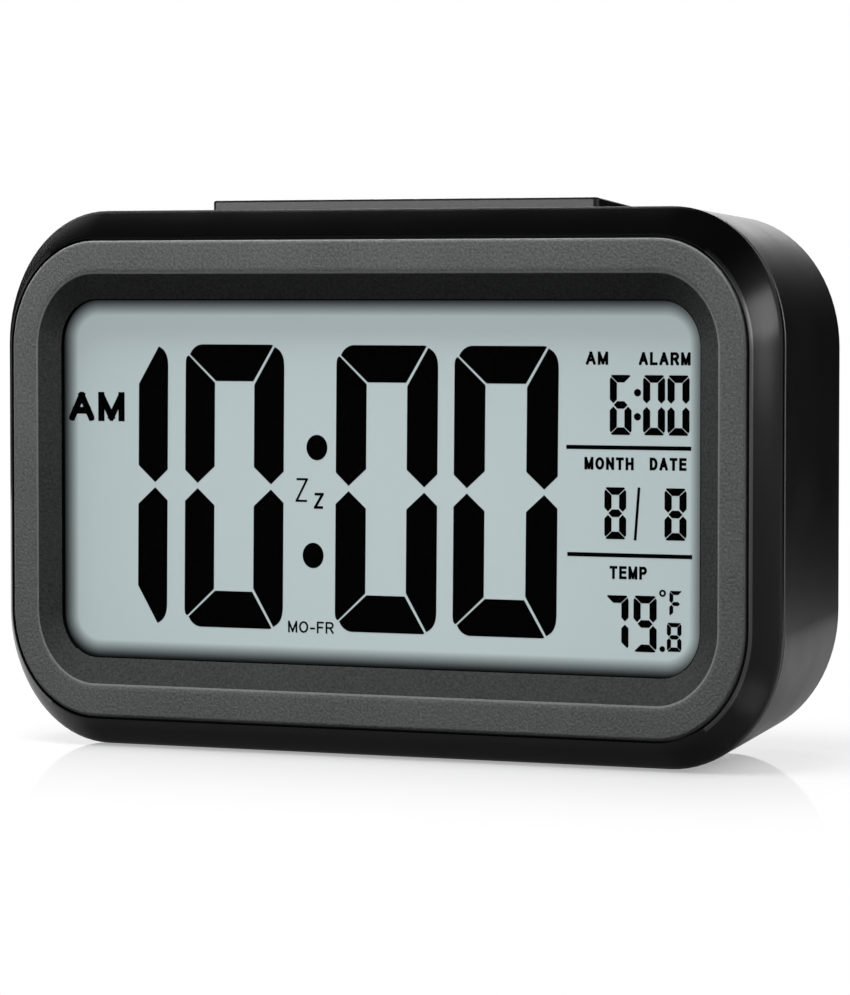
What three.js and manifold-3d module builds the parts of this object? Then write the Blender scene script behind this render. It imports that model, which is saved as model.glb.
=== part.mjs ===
// Digital table clock: a flared front housing with a bezel ring round an LCD, a tapered rear
// housing with a battery bay, a tipping snooze bar, four rear buttons and two slide switches.
// Millimetres, +Z up, the display faces -Y, the origin is under the middle of the clock.

import * as THREE from 'three';
import { mergeVertices } from 'three/addons/utils/BufferGeometryUtils.js';
import Module from 'manifold-3d';

// Driving dimensions: the whole clock
const WIDTH = 128;
const HEIGHT = 83;
const BODY_DEPTH = 44;
const BUTTON_PROUD = 0.8;
const WALL = 2;
const SEAM_DEPTH = 6.8;
const REAR_ROUND = 1.5;

// Clearances
const FIT_GAP = 0.3;
const SEAM_GAP = 0.4;
const SMALL_GAP = 0.1;
const SLIDE_GAP = 0.4;
const SCREW_TIP_GAP = 1.5;

// How far joined shapes reach into each other, and cutters run past a face
const JOIN = 0.5;
const CUT = 1;

// Smoothness
const CORNER_STEPS = 7;
const BAR_CORNER_STEPS = 4;
const ROUND_STEPS = 24;
const SMALL_ROUND_STEPS = 12;
const WELL_STEPS = 16;
const HOLE_STEPS = 8;

const CENTRE_Z = HEIGHT / 2;
const FRONT_Y = -(BODY_DEPTH + BUTTON_PROUD) / 2;
const SEAM_Y = FRONT_Y + SEAM_DEPTH;
const REAR_Y = FRONT_Y + BODY_DEPTH;
const REAR_INNER_Y = REAR_Y - WALL;

// Outlines round the middle of the face: half width, half height, corner radii in X and Z
const CASE = { w: WIDTH / 2, h: HEIGHT / 2, rx: 17.2, rz: 20.2 };
const FLARE = { side: 3.6, top: 4.7, land: 1, bulge: 0.2 };
const RIM = { side: 4.1, top: 4.8, thick: 2 };
const BEVEL = { side: 3.7, top: 4.35, depth: 1.9, lip: 0.6 };
const RING = { w: CASE.w - FLARE.side, h: CASE.h - FLARE.top, rx: 14.1, rz: 16.5 };
const RING_SEAT = grown(RING, FIT_GAP);
const RIM_INNER = inset(RING, RIM.side, RIM.top);
const WINDOW = { ...inset(RIM_INNER, BEVEL.side, BEVEL.top), rx: 5.9, rz: 6.9 };
const TAPER = { side: 3.5, end: 1.2, lift: 0.2 };
const REAR_EDGE = {
  w: CASE.w - TAPER.side,
  h: CASE.h - TAPER.end,
  rx: 17.4,
  rz: 20.2,
  up: TAPER.lift,
};

// The display behind the window
const LENS_MARGIN = 1.9;
const LENS = { ...grown(WINDOW, LENS_MARGIN), rx: 5, rz: 6 };
const LENS_THICK = 1.4;
const LENS_SEAT = grown(LENS, FIT_GAP);
const LENS_DEPTH = BEVEL.depth + BEVEL.lip + SMALL_GAP;
const LEDGE_REAR = LENS_DEPTH + LENS_THICK;
const LCD_MARGIN = { side: 2.9, top: 2.55 };
const PLATE_CORNER = 1;
const LCD = {
  w: WINDOW.w + LCD_MARGIN.side,
  h: WINDOW.h + LCD_MARGIN.top,
  rx: PLATE_CORNER,
  rz: PLATE_CORNER,
};
const LCD_THICK = 2.2;
const HOLDER = { lip: 1.7, wall: 1.1 };
const HOLDER_POCKET = grown(LCD, FIT_GAP);
const HOLDER_OUTER = grown(HOLDER_POCKET, HOLDER.wall);
const HOLDER_LIP = grown(LENS, SMALL_GAP);
const LCD_DEPTH = LEDGE_REAR + HOLDER.lip + SMALL_GAP;
const CONTACT_STRIP = { half: 45, tall: 2, edge: 0.5 };
const LED = { length: 2.6, deep: 2.7, wide: 3 };
const BACKLIGHT_THICK = 3.7;
const BACKLIGHT = {
  w: HOLDER_POCKET.w - LED.length - 2 * FIT_GAP,
  h: HOLDER_POCKET.h - CONTACT_STRIP.tall - CONTACT_STRIP.edge - FIT_GAP,
  rx: PLATE_CORNER,
  rz: PLATE_CORNER,
};
const BACKLIGHT_DEPTH = LCD_DEPTH + LCD_THICK + FIT_GAP;

// Tongue of the rear housing inside the front one
const TONGUE = { inset: WALL + 0.2, thick: 1, reach: 1.6, band: 3.2 };
const TONGUE_POCKET_DEPTH = SEAM_DEPTH - TONGUE.reach - FIT_GAP;
const TONGUE_STEP = 1;
const SHELL_STEP = 0.5;

// The main board and the posts that carry it
const BOARD_THICK = 1.6;
const BOARD_AIR = 1.4;
const BOARD_MARGIN = 0.6;
const BOARD_TAB = 1;
const BOARD_DEPTH = BACKLIGHT_DEPTH + BACKLIGHT_THICK + BOARD_AIR;
const BOARD_Y = FRONT_Y + BOARD_DEPTH;
const BOARD_REAR_Y = BOARD_Y + BOARD_THICK;
const BOARD = { w: HOLDER_OUTER.w, h: HOLDER_OUTER.h - BOARD_MARGIN, rx: 1.5, rz: 1.5 };
const POST_ROOT_Y = FRONT_Y + LEDGE_REAR - JOIN;
const POST_FLOOR = 1;
const POST_BORE_Y = FRONT_Y + LEDGE_REAR + POST_FLOOR;
const BOARD_POST = { x: 38, r: 2.1, hole: 1.1 };
const BOARD_POST_OFFSET = CASE.h - TONGUE.inset - TONGUE.thick - FIT_GAP - BOARD_POST.r;
const BOARD_POSTS = fourAt(BOARD_POST.x, BOARD_POST_OFFSET);
const BOARD_SCREW = { head: 1.9, headThick: 1.45, shank: 0.8, reach: 6 };

// Long screws that hold the housings together
const CASE_POST = { r: 2.8, hole: 1.5, fromSide: 16, clear: 0.2, pastSeam: 3.95 };
const SCREW_WELL = { outerR: 4, r: 2.7, depth: 5.4 };
const SCREW_WELL_FLOOR = REAR_Y - SCREW_WELL.depth;
const CASE_POST_OFFSET = HOLDER_OUTER.h + CASE_POST.clear + CASE_POST.r;
const CASE_POSTS = fourAt(CASE.w - CASE_POST.fromSide, CASE_POST_OFFSET);
const CASE_POST_JOINT_Y = SEAM_Y + CASE_POST.pastSeam;
const CASE_SCREW_SEAT = SCREW_WELL_FLOOR + SMALL_GAP;
const CASE_SCREW = {
  head: 2.3,
  headThick: 2,
  shank: 1.2,
  reach: CASE_SCREW_SEAT - POST_BORE_Y - SCREW_TIP_GAP,
};
const SCREW_EDGE = 0.4;

// Battery cells, contacts, bay and door
const CELL = { radius: 5.25, length: 44.5, nub: 0.9, nubRadius: 1.9, count: 3, edge: 0.3 };
const PLATE_THICK = 0.4;
const DIMPLE = 0.9;
const SPRING = { length: 3.5, turns: 3, wire: 0.25, radius: 3.4 };
const DOOR_THICK = 1.8;
const DOOR_Y = REAR_Y - SMALL_GAP - DOOR_THICK;
const CELL_TO_DOOR = 1.15;
const CELL_TO_FLOOR = 0.65;
const CELL_SPACE = 0.7;
const CELL_Y = DOOR_Y - CELL_TO_DOOR - CELL.radius;
const CELL_PITCH = 2 * CELL.radius + CELL_SPACE;
const BAY_ENDS = 2 * PLATE_THICK + SPRING.length + DIMPLE + 3 * SMALL_GAP;
const BAY_SIDE_GAP = 0.75;
const BAY_BOTTOM = 11.3;
const BAY_TALL = (CELL.count - 1) * CELL_PITCH + 2 * (CELL.radius + BAY_SIDE_GAP);
const BAY = {
  w: (CELL.length + BAY_ENDS) / 2,
  y: CELL_Y - CELL.radius - CELL_TO_FLOOR,
  bottom: BAY_BOTTOM,
  top: BAY_BOTTOM + BAY_TALL,
  wall: 2.5,
  floor: 1.4,
  foot: 4.9,
};
const FIRST_CELL_Z = BAY.bottom + BAY_SIDE_GAP + CELL.radius;
const CELL_Z = Array.from({ length: CELL.count }, (_, index) => FIRST_CELL_Z + index * CELL_PITCH);
const DOOR_HINGE = { inward: 0.5, under: 1.8, edge: 0.5 };
const DOOR_LAP = { side: 1, top: 1.2, behind: 0.5 };
const DOOR_AXIS = { y: DOOR_Y + DOOR_HINGE.inward, z: BAY.bottom - DOOR_HINGE.under };
const DOOR = {
  w: BAY.w + DOOR_LAP.side,
  y: DOOR_Y,
  thick: DOOR_THICK,
  bottom: DOOR_AXIS.z - DOOR_HINGE.edge,
  top: BAY.top + DOOR_LAP.top,
};
const DOOR_PIN = { r: 0.55, reach: 1 };
const DOOR_SWING = Math.hypot(DOOR.y + DOOR.thick - DOOR_AXIS.y, DOOR_AXIS.z - DOOR.bottom);
const DOOR_OPENING = {
  w: DOOR.w + FIT_GAP,
  y: DOOR.y - DOOR_LAP.behind,
  bottom: DOOR_AXIS.z - DOOR_SWING - FIT_GAP,
  top: DOOR.top + FIT_GAP,
};
const DOOR_GRIP = { w: 5, deep: 0.8, tall: 2.5, fromTop: 2 };

// Snooze bar on the top and the switch under it
const BAR_PLACE = { fromSeam: 6.2, deep: 20.4, sunk: 2.6, proudFront: 1.7, proudRear: 0.1 };
const BAR_FRONT = SEAM_Y + BAR_PLACE.fromSeam;
const BAR = {
  w: 32,
  front: BAR_FRONT,
  rear: BAR_FRONT + BAR_PLACE.deep,
  bottom: HEIGHT - BAR_PLACE.sunk,
  r: 2.5,
};
const BAR_TOP_FRONT = HEIGHT + BAR_PLACE.proudFront;
const BAR_TOP_REAR = HEIGHT + BAR_PLACE.proudRear;
const BAR_EDGE = 0.8;
const BAR_OPENING_DEEP = 3;
const BAR_PIN = { r: 0.6, reach: 1.2, fromRear: 1, up: 0.5 };
const BAR_AXIS = { y: BAR.rear - BAR_PIN.fromRear, z: BAR.bottom + BAR_PIN.up };
const BAR_STRIP = { side: 0.7, thick: 0.6, wrap: 2.2, above: 0.8, below: 0.5 };
const SNOOZE_SWITCH = { w: 3, deep: 4, tall: 3.7, actuator: 1, under: 0.3 };
const SNOOZE_SWITCH_TOP = CENTRE_Z + BOARD.h - SNOOZE_SWITCH.under;
const BAR_PLUNGER = { w: 3, deep: 2, gap: 1.2 };

// Rear buttons, slide switches and the board behind them
const BUTTON_UP = 24.5;
const BUTTON = { w: 4.5, h: 2.5, z: CENTRE_Z + BUTTON_UP, pitch: 18, travel: 0.8 };
const BUTTON_FLANGE = { extra: 1, thick: 1, gap: 0.6 };
const BUTTON_STEM = { r: 1.5, length: 0.7 };
const BUTTON_X = [-1.5, -0.5, 0.5, 1.5].map((place) => place * BUTTON.pitch);
const FLANGE_REAR = REAR_INNER_Y - BUTTON_FLANGE.gap;
const FLANGE_FRONT = FLANGE_REAR - BUTTON_FLANGE.thick;
const STEM_END = FLANGE_FRONT - BUTTON_STEM.length;
const KEY = { w: 3, height: 3.5, actuator: 0.9, actuatorR: 1.5 };
const KEY_TOP = STEM_END - BUTTON.travel - SMALL_GAP;
const REAR_BOARD_FACE = KEY_TOP - KEY.actuator - KEY.height;
const SLIDER = { x: 44, w: 1.8, h: 1.2, travel: 3, proud: 0.6 };
const REAR_BOARD_SIZE = { thick: 1.4, under: 9, over: 6, side: 6 };
const REAR_BOARD = {
  w: SLIDER.x + REAR_BOARD_SIZE.side,
  y: REAR_BOARD_FACE - REAR_BOARD_SIZE.thick,
  bottom: BUTTON.z - REAR_BOARD_SIZE.under,
  top: BUTTON.z + REAR_BOARD_SIZE.over,
};
const REAR_BOSS = { x: BUTTON.pitch, drop: 6, r: 2.5, hole: 1.1, roof: 0.6 };
const REAR_BOSS_Z = BUTTON.z - REAR_BOSS.drop;
const SLIDER_SKIRT = { w: 4, h: 2.4, thick: 0.8, gap: 0.5 };
const SLIDE_SWITCH = { w: 4.5, h: 2.2, deep: 4.4 };

// Sound holes, vents and feet
const SOUND = { x: 43, z: 30, pitch: 4.4, r: 0.8, ring: 6 };
const BUZZER = { r: 11, thick: 3.5, wall: 1.2 };
const VENT = { x: -43, w: 6, h: 0.6, pitch: 3.6, count: 5, z: 30 };
const FOOT_PLACE = { fromRear: 11.6, deep: 7 };
const FOOT_FRONT = REAR_Y - FOOT_PLACE.fromRear;
const FOOT = { x: 38, w: 5, front: FOOT_FRONT, rear: FOOT_FRONT + FOOT_PLACE.deep, top: 1.8 };

// Parts on the back of the main board: place from the middle, then sizes
const BLOB = { x: 15, z: -7.5, r: 7, tall: 2, edge: 0.4, shoulder: 2.2 };
const CRYSTAL = { x: -12, z: -3.5, r: 1.5, length: 8 };
const CAPACITOR = { x: 26, z: 10.5, r: 2.5, tall: 7, edge: 0.3 };
const THERMISTOR = { legR: 0.4, legs: 2, r: 1.5, tall: 5 };

// Wires
const WIRE_RADIUS = 0.6;
const WIRE_RUN = { bow: 3, slack: 4, lift: 7, drop: 3.5 };
const RIBBON = { w: 12, thick: 0.8, drop: 6, sag: 8, up: 4 };

// Materials: colour, roughness, metalness
const looks = {
  blackCase: [0x15161a, 0.38, 0],
  satinBlack: [0x1b1b1e, 0.5, 0],
  greyRing: [0x5f6263, 0.62, 0],
  clear: [0xdfe8e6, 0.05, 0],
  lcdGlass: [0xa9b5b1, 0.35, 0],
  whitePlastic: [0xe4e4de, 0.5, 0],
  board: [0x1f5a36, 0.55, 0],
  epoxy: [0x111111, 0.4, 0],
  steel: [0xb4b6b8, 0.3, 1],
  rubberBlack: [0x1a1a1a, 0.85, 0],
  greyPlastic: [0x6a6a6a, 0.5, 0],
  cell: [0x39506b, 0.4, 0.3],
  brass: [0xb59a5a, 0.35, 1],
  redWire: [0xa32a22, 0.5, 0],
  blackWire: [0x1c1c1c, 0.5, 0],
  ribbon: [0x8d9094, 0.55, 0],
  led: [0xf2efe0, 0.3, 0],
};

const wasm = await Module();
wasm.setup();
const clock = new THREE.Group();

function inset(outline, side, top) {
  return {
    ...outline,
    w: outline.w - side,
    h: outline.h - top,
    rx: outline.rx - side,
    rz: outline.rz - top,
  };
}

function grown(outline, by) {
  return inset(outline, -by, -by);
}

// Places left and right of the middle, below and above it
function fourAt(x, offsetZ) {
  return [[-x, -1], [x, -1], [-x, 1], [x, 1]].map(([px, up]) => [px, CENTRE_Z + up * offsetZ]);
}

// A closed loop of points round an outline at one depth, anticlockwise as seen from the front
function loopAt(outline, y) {
  const corners = [[1, 1], [-1, 1], [-1, -1], [1, -1]];
  const middleZ = CENTRE_Z + (outline.up ?? 0);
  const points = [];
  corners.forEach(([sideX, sideZ], quarter) => {
    const cornerX = sideX * (outline.w - outline.rx);
    const cornerZ = middleZ + sideZ * (outline.h - outline.rz);
    for (let step = 0; step <= CORNER_STEPS; step += 1) {
      const angle = (quarter + step / CORNER_STEPS) * Math.PI / 2;
      const x = cornerX + outline.rx * Math.cos(angle);
      const z = cornerZ + outline.rz * Math.sin(angle);
      points.push([x, y, z]);
    }
  });
  return points;
}

// Quads between loops that have equal counts, and flat ends where the loops don't close up
function skin(loops, closed) {
  const count = loops[0].length;
  const faces = [];
  const spans = closed ? loops.length : loops.length - 1;
  for (let row = 0; row < spans; row += 1) {
    const near = row * count;
    const far = ((row + 1) % loops.length) * count;
    for (let i = 0; i < count; i += 1) {
      const next = (i + 1) % count;
      faces.push(near + i, far + next, near + next);
      faces.push(near + i, far + i, far + next);
    }
  }
  if (!closed) {
    const last = (loops.length - 1) * count;
    for (let i = 1; i < count - 1; i += 1) {
      faces.push(0, i, i + 1);
      faces.push(last, last + i + 1, last + i);
    }
  }
  const geometry = new THREE.BufferGeometry();
  geometry.setAttribute('position', new THREE.Float32BufferAttribute(loops.flat(2), 3));
  geometry.setIndex(faces);
  return geometry;
}

// A plate or block through several [outline, depth] sections, front to rear
function loft(sections) {
  return skin(sections.map(([outline, depth]) => loopAt(outline, FRONT_Y + depth)), false);
}

// A frame whose section runs round the [outline, depth] points: outer side first, then inner
function frameOf(sections) {
  return skin(sections.map(([outline, depth]) => loopAt(outline, FRONT_Y + depth)), true);
}

function plate(outline, depth, thick) {
  return loft([[outline, depth], [outline, depth + thick]]);
}

function box(x0, x1, y0, y1, z0, z1) {
  const geometry = new THREE.BoxGeometry(x1 - x0, y1 - y0, z1 - z0);
  return geometry.translate((x0 + x1) / 2, (y0 + y1) / 2, (z0 + z1) / 2);
}

// A box round (x, z) with half sizes w and h
function boxAt(x, z, w, h, y0, y1) {
  return box(x - w, x + w, y0, y1, z - h, z + h);
}

// A cylinder along Y
function rodY([x, z], y0, y1, radius, steps = SMALL_ROUND_STEPS) {
  const geometry = new THREE.CylinderGeometry(radius, radius, y1 - y0, steps);
  return geometry.translate(x, (y0 + y1) / 2, z);
}

// A cylinder along X
function rodX({ y, z }, x0, x1, radius) {
  const geometry = new THREE.CylinderGeometry(radius, radius, x1 - x0, SMALL_ROUND_STEPS);
  return geometry.rotateZ(-Math.PI / 2).translate((x0 + x1) / 2, y, z);
}

// A turned piece along Y from [radius, y] points that start and end on the axis
function turnedY(profile, [x, z], steps = SMALL_ROUND_STEPS) {
  const points = profile.map(([radius, y]) => new THREE.Vector2(radius, y));
  return new THREE.LatheGeometry(points, steps).translate(x, 0, z);
}

// A bar with round ends, half width w and half height h, round (x, z)
function racetrackY([x, z], w, h, y0, y1) {
  const shape = new THREE.Shape();
  const straight = w - h;
  shape.absarc(straight, 0, h, -Math.PI / 2, Math.PI / 2);
  shape.absarc(-straight, 0, h, Math.PI / 2, 3 * Math.PI / 2);
  const geometry = new THREE.ExtrudeGeometry(shape, {
    depth: y1 - y0,
    bevelEnabled: false,
    curveSegments: SMALL_ROUND_STEPS / 2,
  });
  return geometry.rotateX(Math.PI / 2).translate(x, y1, z);
}

function toManifold(geometry) {
  const bare = geometry.clone();
  bare.deleteAttribute('normal');
  bare.deleteAttribute('uv');
  const merged = mergeVertices(bare, 1e-4);
  const vertProperties = new Float32Array(merged.attributes.position.array);
  const triVerts = new Uint32Array(merged.index.array);
  return new wasm.Manifold(new wasm.Mesh({ numProp: 3, vertProperties, triVerts }));
}

function fromManifold(solid) {
  const mesh = solid.getMesh();
  const geometry = new THREE.BufferGeometry();
  geometry.setAttribute('position', new THREE.Float32BufferAttribute(mesh.vertProperties, 3));
  geometry.setIndex([...mesh.triVerts]);
  return geometry;
}

// Joins the first list of shapes, then cuts the second list out of them
function carve(joined, cut = []) {
  let solid = toManifold(joined[0]);
  for (const shape of joined.slice(1)) solid = solid.add(toManifold(shape));
  for (const shape of cut) solid = solid.subtract(toManifold(shape));
  return fromManifold(solid);
}

function common(first, second) {
  return fromManifold(toManifold(first).intersect(toManifold(second)));
}

function piece(name, geometry, look) {
  const [color, roughness, metalness] = looks[look];
  const material = new THREE.MeshStandardMaterial({ color, roughness, metalness });
  const mesh = new THREE.Mesh(geometry, material);
  mesh.name = name;
  clock.add(mesh);
}

function addFrontHousing() {
  const flareMiddle = {
    w: (CASE.w + RING_SEAT.w) / 2 + FLARE.bulge,
    h: (CASE.h + RING_SEAT.h) / 2 + FLARE.bulge,
    rx: (CASE.rx + RING_SEAT.rx) / 2,
    rz: (CASE.rz + RING_SEAT.rz) / 2,
  };
  const flareDepth = SEAM_DEPTH - FLARE.land;
  const shell = frameOf([
    [RING_SEAT, 0],
    [flareMiddle, flareDepth / 2],
    [CASE, flareDepth],
    [CASE, SEAM_DEPTH],
    [grown(CASE, -WALL), SEAM_DEPTH],
    [grown(CASE, -WALL), TONGUE_POCKET_DEPTH],
    [grown(CASE, -WALL - TONGUE_STEP), LEDGE_REAR],
    [LENS_SEAT, LEDGE_REAR],
    [LENS_SEAT, RIM.thick],
    [RING_SEAT, RIM.thick],
  ]);
  const casePostEnd = CASE_POST_JOINT_Y - FIT_GAP / 2;
  const posts = [];
  const bores = [];
  for (const place of CASE_POSTS) {
    posts.push(rodY(place, POST_ROOT_Y, casePostEnd, CASE_POST.r));
    bores.push(rodY(place, POST_BORE_Y, casePostEnd + CUT, CASE_POST.hole));
  }
  for (const place of BOARD_POSTS) {
    posts.push(rodY(place, POST_ROOT_Y, BOARD_Y, BOARD_POST.r));
    bores.push(rodY(place, POST_BORE_Y, BOARD_Y + CUT, BOARD_POST.hole));
  }
  piece('front_housing', carve([shell, ...posts], bores), 'blackCase');
}

function addBezelRing() {
  const ring = frameOf([
    [RING, 0],
    [RING, RIM.thick],
    [LENS_SEAT, RIM.thick],
    [WINDOW, BEVEL.depth + BEVEL.lip],
    [WINDOW, BEVEL.depth],
    [RIM_INNER, 0],
  ]);
  piece('bezel_ring', ring, 'greyRing');
}

function addDisplay() {
  piece('display_lens', plate(LENS, LENS_DEPTH, LENS_THICK), 'clear');
  piece('lcd_panel', plate(LCD, LCD_DEPTH, LCD_THICK), 'lcdGlass');
  const holderRear = BOARD_DEPTH - SMALL_GAP;
  const lipRear = LCD_DEPTH - SMALL_GAP;
  const holder = frameOf([
    [HOLDER_OUTER, LEDGE_REAR],
    [HOLDER_OUTER, holderRear],
    [HOLDER_POCKET, holderRear],
    [HOLDER_POCKET, lipRear],
    [HOLDER_LIP, lipRear],
    [HOLDER_LIP, LEDGE_REAR],
  ]);
  piece('display_holder', holder, 'blackCase');
  piece('backlight_panel', plate(BACKLIGHT, BACKLIGHT_DEPTH, BACKLIGHT_THICK), 'whitePlastic');
  const ledFront = FRONT_Y + BACKLIGHT_DEPTH + (BACKLIGHT_THICK - LED.deep) / 2;
  const ledMiddle = BACKLIGHT.w + FIT_GAP + LED.length / 2;
  const stripFront = FRONT_Y + LCD_DEPTH + LCD_THICK;
  const stripOffset = HOLDER_POCKET.h - CONTACT_STRIP.edge - CONTACT_STRIP.tall / 2;
  for (const [side, ledName, stripName] of [[-1, 'left', 'lower'], [1, 'right', 'upper']]) {
    const ledX = side * ledMiddle;
    const ledRear = ledFront + LED.deep;
    const led = boxAt(ledX, CENTRE_Z, LED.length / 2, LED.wide / 2, ledFront, ledRear);
    piece(`backlight_led_${ledName}`, led, 'led');
    const z = CENTRE_Z + side * stripOffset;
    const strip = boxAt(0, z, CONTACT_STRIP.half, CONTACT_STRIP.tall / 2, stripFront, BOARD_Y);
    piece(`zebra_strip_${stripName}`, strip, 'rubberBlack');
  }
}

function addMainBoard() {
  const tabs = BOARD_POSTS.map(([x, z]) => {
    const side = Math.sign(z - CENTRE_Z);
    const inner = CENTRE_Z + side * (BOARD.h - JOIN);
    const outer = z + side * BOARD_POST.r;
    const [low, high] = [Math.min(inner, outer), Math.max(inner, outer)];
    const half = BOARD_POST.r + BOARD_TAB;
    return box(x - half, x + half, BOARD_Y, BOARD_REAR_Y, low, high);
  });
  const through = [BOARD_Y - CUT, BOARD_REAR_Y + CUT];
  const holes = BOARD_POSTS.map((place) => rodY(place, ...through, BOARD_POST.hole));
  const board = carve([plate(BOARD, BOARD_DEPTH, BOARD_THICK), ...tabs], holes);
  piece('main_board', board, 'board');
}

function addBoardParts() {
  const top = BOARD_REAR_Y;
  const blob = [
    [0, top],
    [BLOB.r, top],
    [BLOB.r - BLOB.edge, top + BLOB.edge * BLOB.tall],
    [BLOB.r - BLOB.shoulder, top + BLOB.tall - BLOB.edge],
    [0, top + BLOB.tall],
  ];
  piece('controller_blob', turnedY(blob, [BLOB.x, CENTRE_Z + BLOB.z], ROUND_STEPS), 'epoxy');
  const { r, length } = CRYSTAL;
  const crystal = new THREE.CylinderGeometry(r, r, length, SMALL_ROUND_STEPS);
  crystal.rotateX(Math.PI / 2).translate(CRYSTAL.x, top + r, CENTRE_Z + CRYSTAL.z);
  piece('quartz_crystal', crystal, 'steel');
  const canTop = top + CAPACITOR.tall;
  const can = [
    [0, top],
    [CAPACITOR.r, top],
    [CAPACITOR.r, canTop - CAPACITOR.edge],
    [CAPACITOR.r - CAPACITOR.edge, canTop],
    [0, canTop],
  ];
  piece('buffer_capacitor', turnedY(can, [CAPACITOR.x, CENTRE_Z + CAPACITOR.z]), 'cell');
  const beadTop = top + THERMISTOR.tall;
  const beadStart = top + THERMISTOR.legs;
  const bead = [
    [0, top],
    [THERMISTOR.legR, top],
    [THERMISTOR.legR, beadStart],
    [THERMISTOR.r, beadStart + (beadTop - beadStart) / 3],
    [THERMISTOR.r, beadStart + 2 * (beadTop - beadStart) / 3],
    [0, beadTop],
  ];
  piece('thermistor', turnedY(bead, [VENT.x, VENT.z]), 'epoxy');
  const { w, deep, tall, actuator } = SNOOZE_SWITCH;
  const bodyTop = SNOOZE_SWITCH_TOP - actuator;
  const body = box(-w, w, top, top + deep, bodyTop - tall, bodyTop);
  const knobY = [top + deep / 4, top + 3 * deep / 4];
  const knob = box(-w / 2, w / 2, ...knobY, bodyTop - JOIN, SNOOZE_SWITCH_TOP);
  piece('snooze_switch', carve([body, knob]), 'epoxy');
}

// The shell: tapered outside, a tongue at its front and an open inside
function rearShell() {
  const start = SEAM_DEPTH + SEAM_GAP;
  const tongueStart = SEAM_DEPTH - TONGUE.reach;
  const outer = loft([
    [grown(CASE, -SMALL_GAP), start],
    [REAR_EDGE, BODY_DEPTH - REAR_ROUND],
    [grown(REAR_EDGE, -0.6 * REAR_ROUND), BODY_DEPTH - 0.25 * REAR_ROUND],
    [grown(REAR_EDGE, -1.6 * REAR_ROUND), BODY_DEPTH],
  ]);
  const tongueOuter = grown(CASE, -TONGUE.inset);
  const tongueInner = grown(tongueOuter, -TONGUE.thick);
  const tongue = loft([
    [tongueOuter, tongueStart],
    [tongueOuter, start + TONGUE_STEP],
  ]);
  const cavity = loft([
    [tongueInner, tongueStart - CUT],
    [tongueInner, start + TONGUE.band],
    [grown(CASE, -WALL - SHELL_STEP), start + TONGUE.band + TONGUE_STEP],
    [grown(REAR_EDGE, -WALL), BODY_DEPTH - WALL],
  ]);
  return carve([outer, tongue], [cavity]);
}

// The bay that holds the cells, and what is cut for it and for the door's pins
function bayShapes() {
  const outerW = BAY.w + BAY.wall;
  const outside = REAR_Y + CUT;
  const block = box(
    -outerW, outerW,
    BAY.y - BAY.floor, REAR_INNER_Y + JOIN,
    BAY.bottom - BAY.foot, BAY.top + BAY.wall,
  );
  const opening = DOOR_OPENING;
  const room = box(-BAY.w, BAY.w, BAY.y, outside, BAY.bottom, BAY.top);
  const doorway = box(-opening.w, opening.w, opening.y, outside, opening.bottom, opening.top);
  const slotReach = DOOR.w + DOOR_PIN.reach + FIT_GAP;
  const play = DOOR_PIN.r + FIT_GAP;
  const { y, z } = DOOR_AXIS;
  const pinSlot = box(-slotReach, slotReach, y - play - JOIN, y + play, z - play, z + play);
  return { block, cuts: [room, doorway, pinSlot] };
}

function rearHoles() {
  const through = [REAR_INNER_Y - CUT, REAR_Y + CUT];
  const holes = BUTTON_X.map((x) => (
    racetrackY([x, BUTTON.z], BUTTON.w + FIT_GAP, BUTTON.h + FIT_GAP, ...through)
  ));
  const reach = SLIDER.w + SLIDER.travel / 2 + FIT_GAP;
  for (const side of [-1, 1]) {
    holes.push(boxAt(side * SLIDER.x, BUTTON.z, reach, SLIDER.h + FIT_GAP, ...through));
  }
  holes.push(rodY([SOUND.x, SOUND.z], ...through, SOUND.r, HOLE_STEPS));
  for (let i = 0; i < SOUND.ring; i += 1) {
    const angle = i * 2 * Math.PI / SOUND.ring;
    const x = SOUND.x + SOUND.pitch * Math.cos(angle);
    const z = SOUND.z + SOUND.pitch * Math.sin(angle);
    holes.push(rodY([x, z], ...through, SOUND.r, HOLE_STEPS));
  }
  for (let i = 0; i < VENT.count; i += 1) {
    const z = VENT.z + (i - (VENT.count - 1) / 2) * VENT.pitch;
    holes.push(boxAt(VENT.x, z, VENT.w, VENT.h, ...through));
  }
  return holes;
}

function barOpening() {
  const floor = BAR.bottom - BAR_OPENING_DEEP;
  const opening = skin([barLoop(-SLIDE_GAP, underTop(-CUT)), barLoop(-SLIDE_GAP, level(floor))], false);
  const pinReach = BAR.w + BAR_PIN.reach + FIT_GAP;
  const pins = rodX(BAR_AXIS, -pinReach, pinReach, BAR_PIN.r + FIT_GAP);
  return [opening, pins];
}

function footPocket(side) {
  const x = side * FOOT.x;
  const half = FOOT.w + FIT_GAP;
  return box(x - half, x + half, FOOT.front - FIT_GAP, FOOT.rear + FIT_GAP, -CUT, FOOT.top);
}

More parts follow.
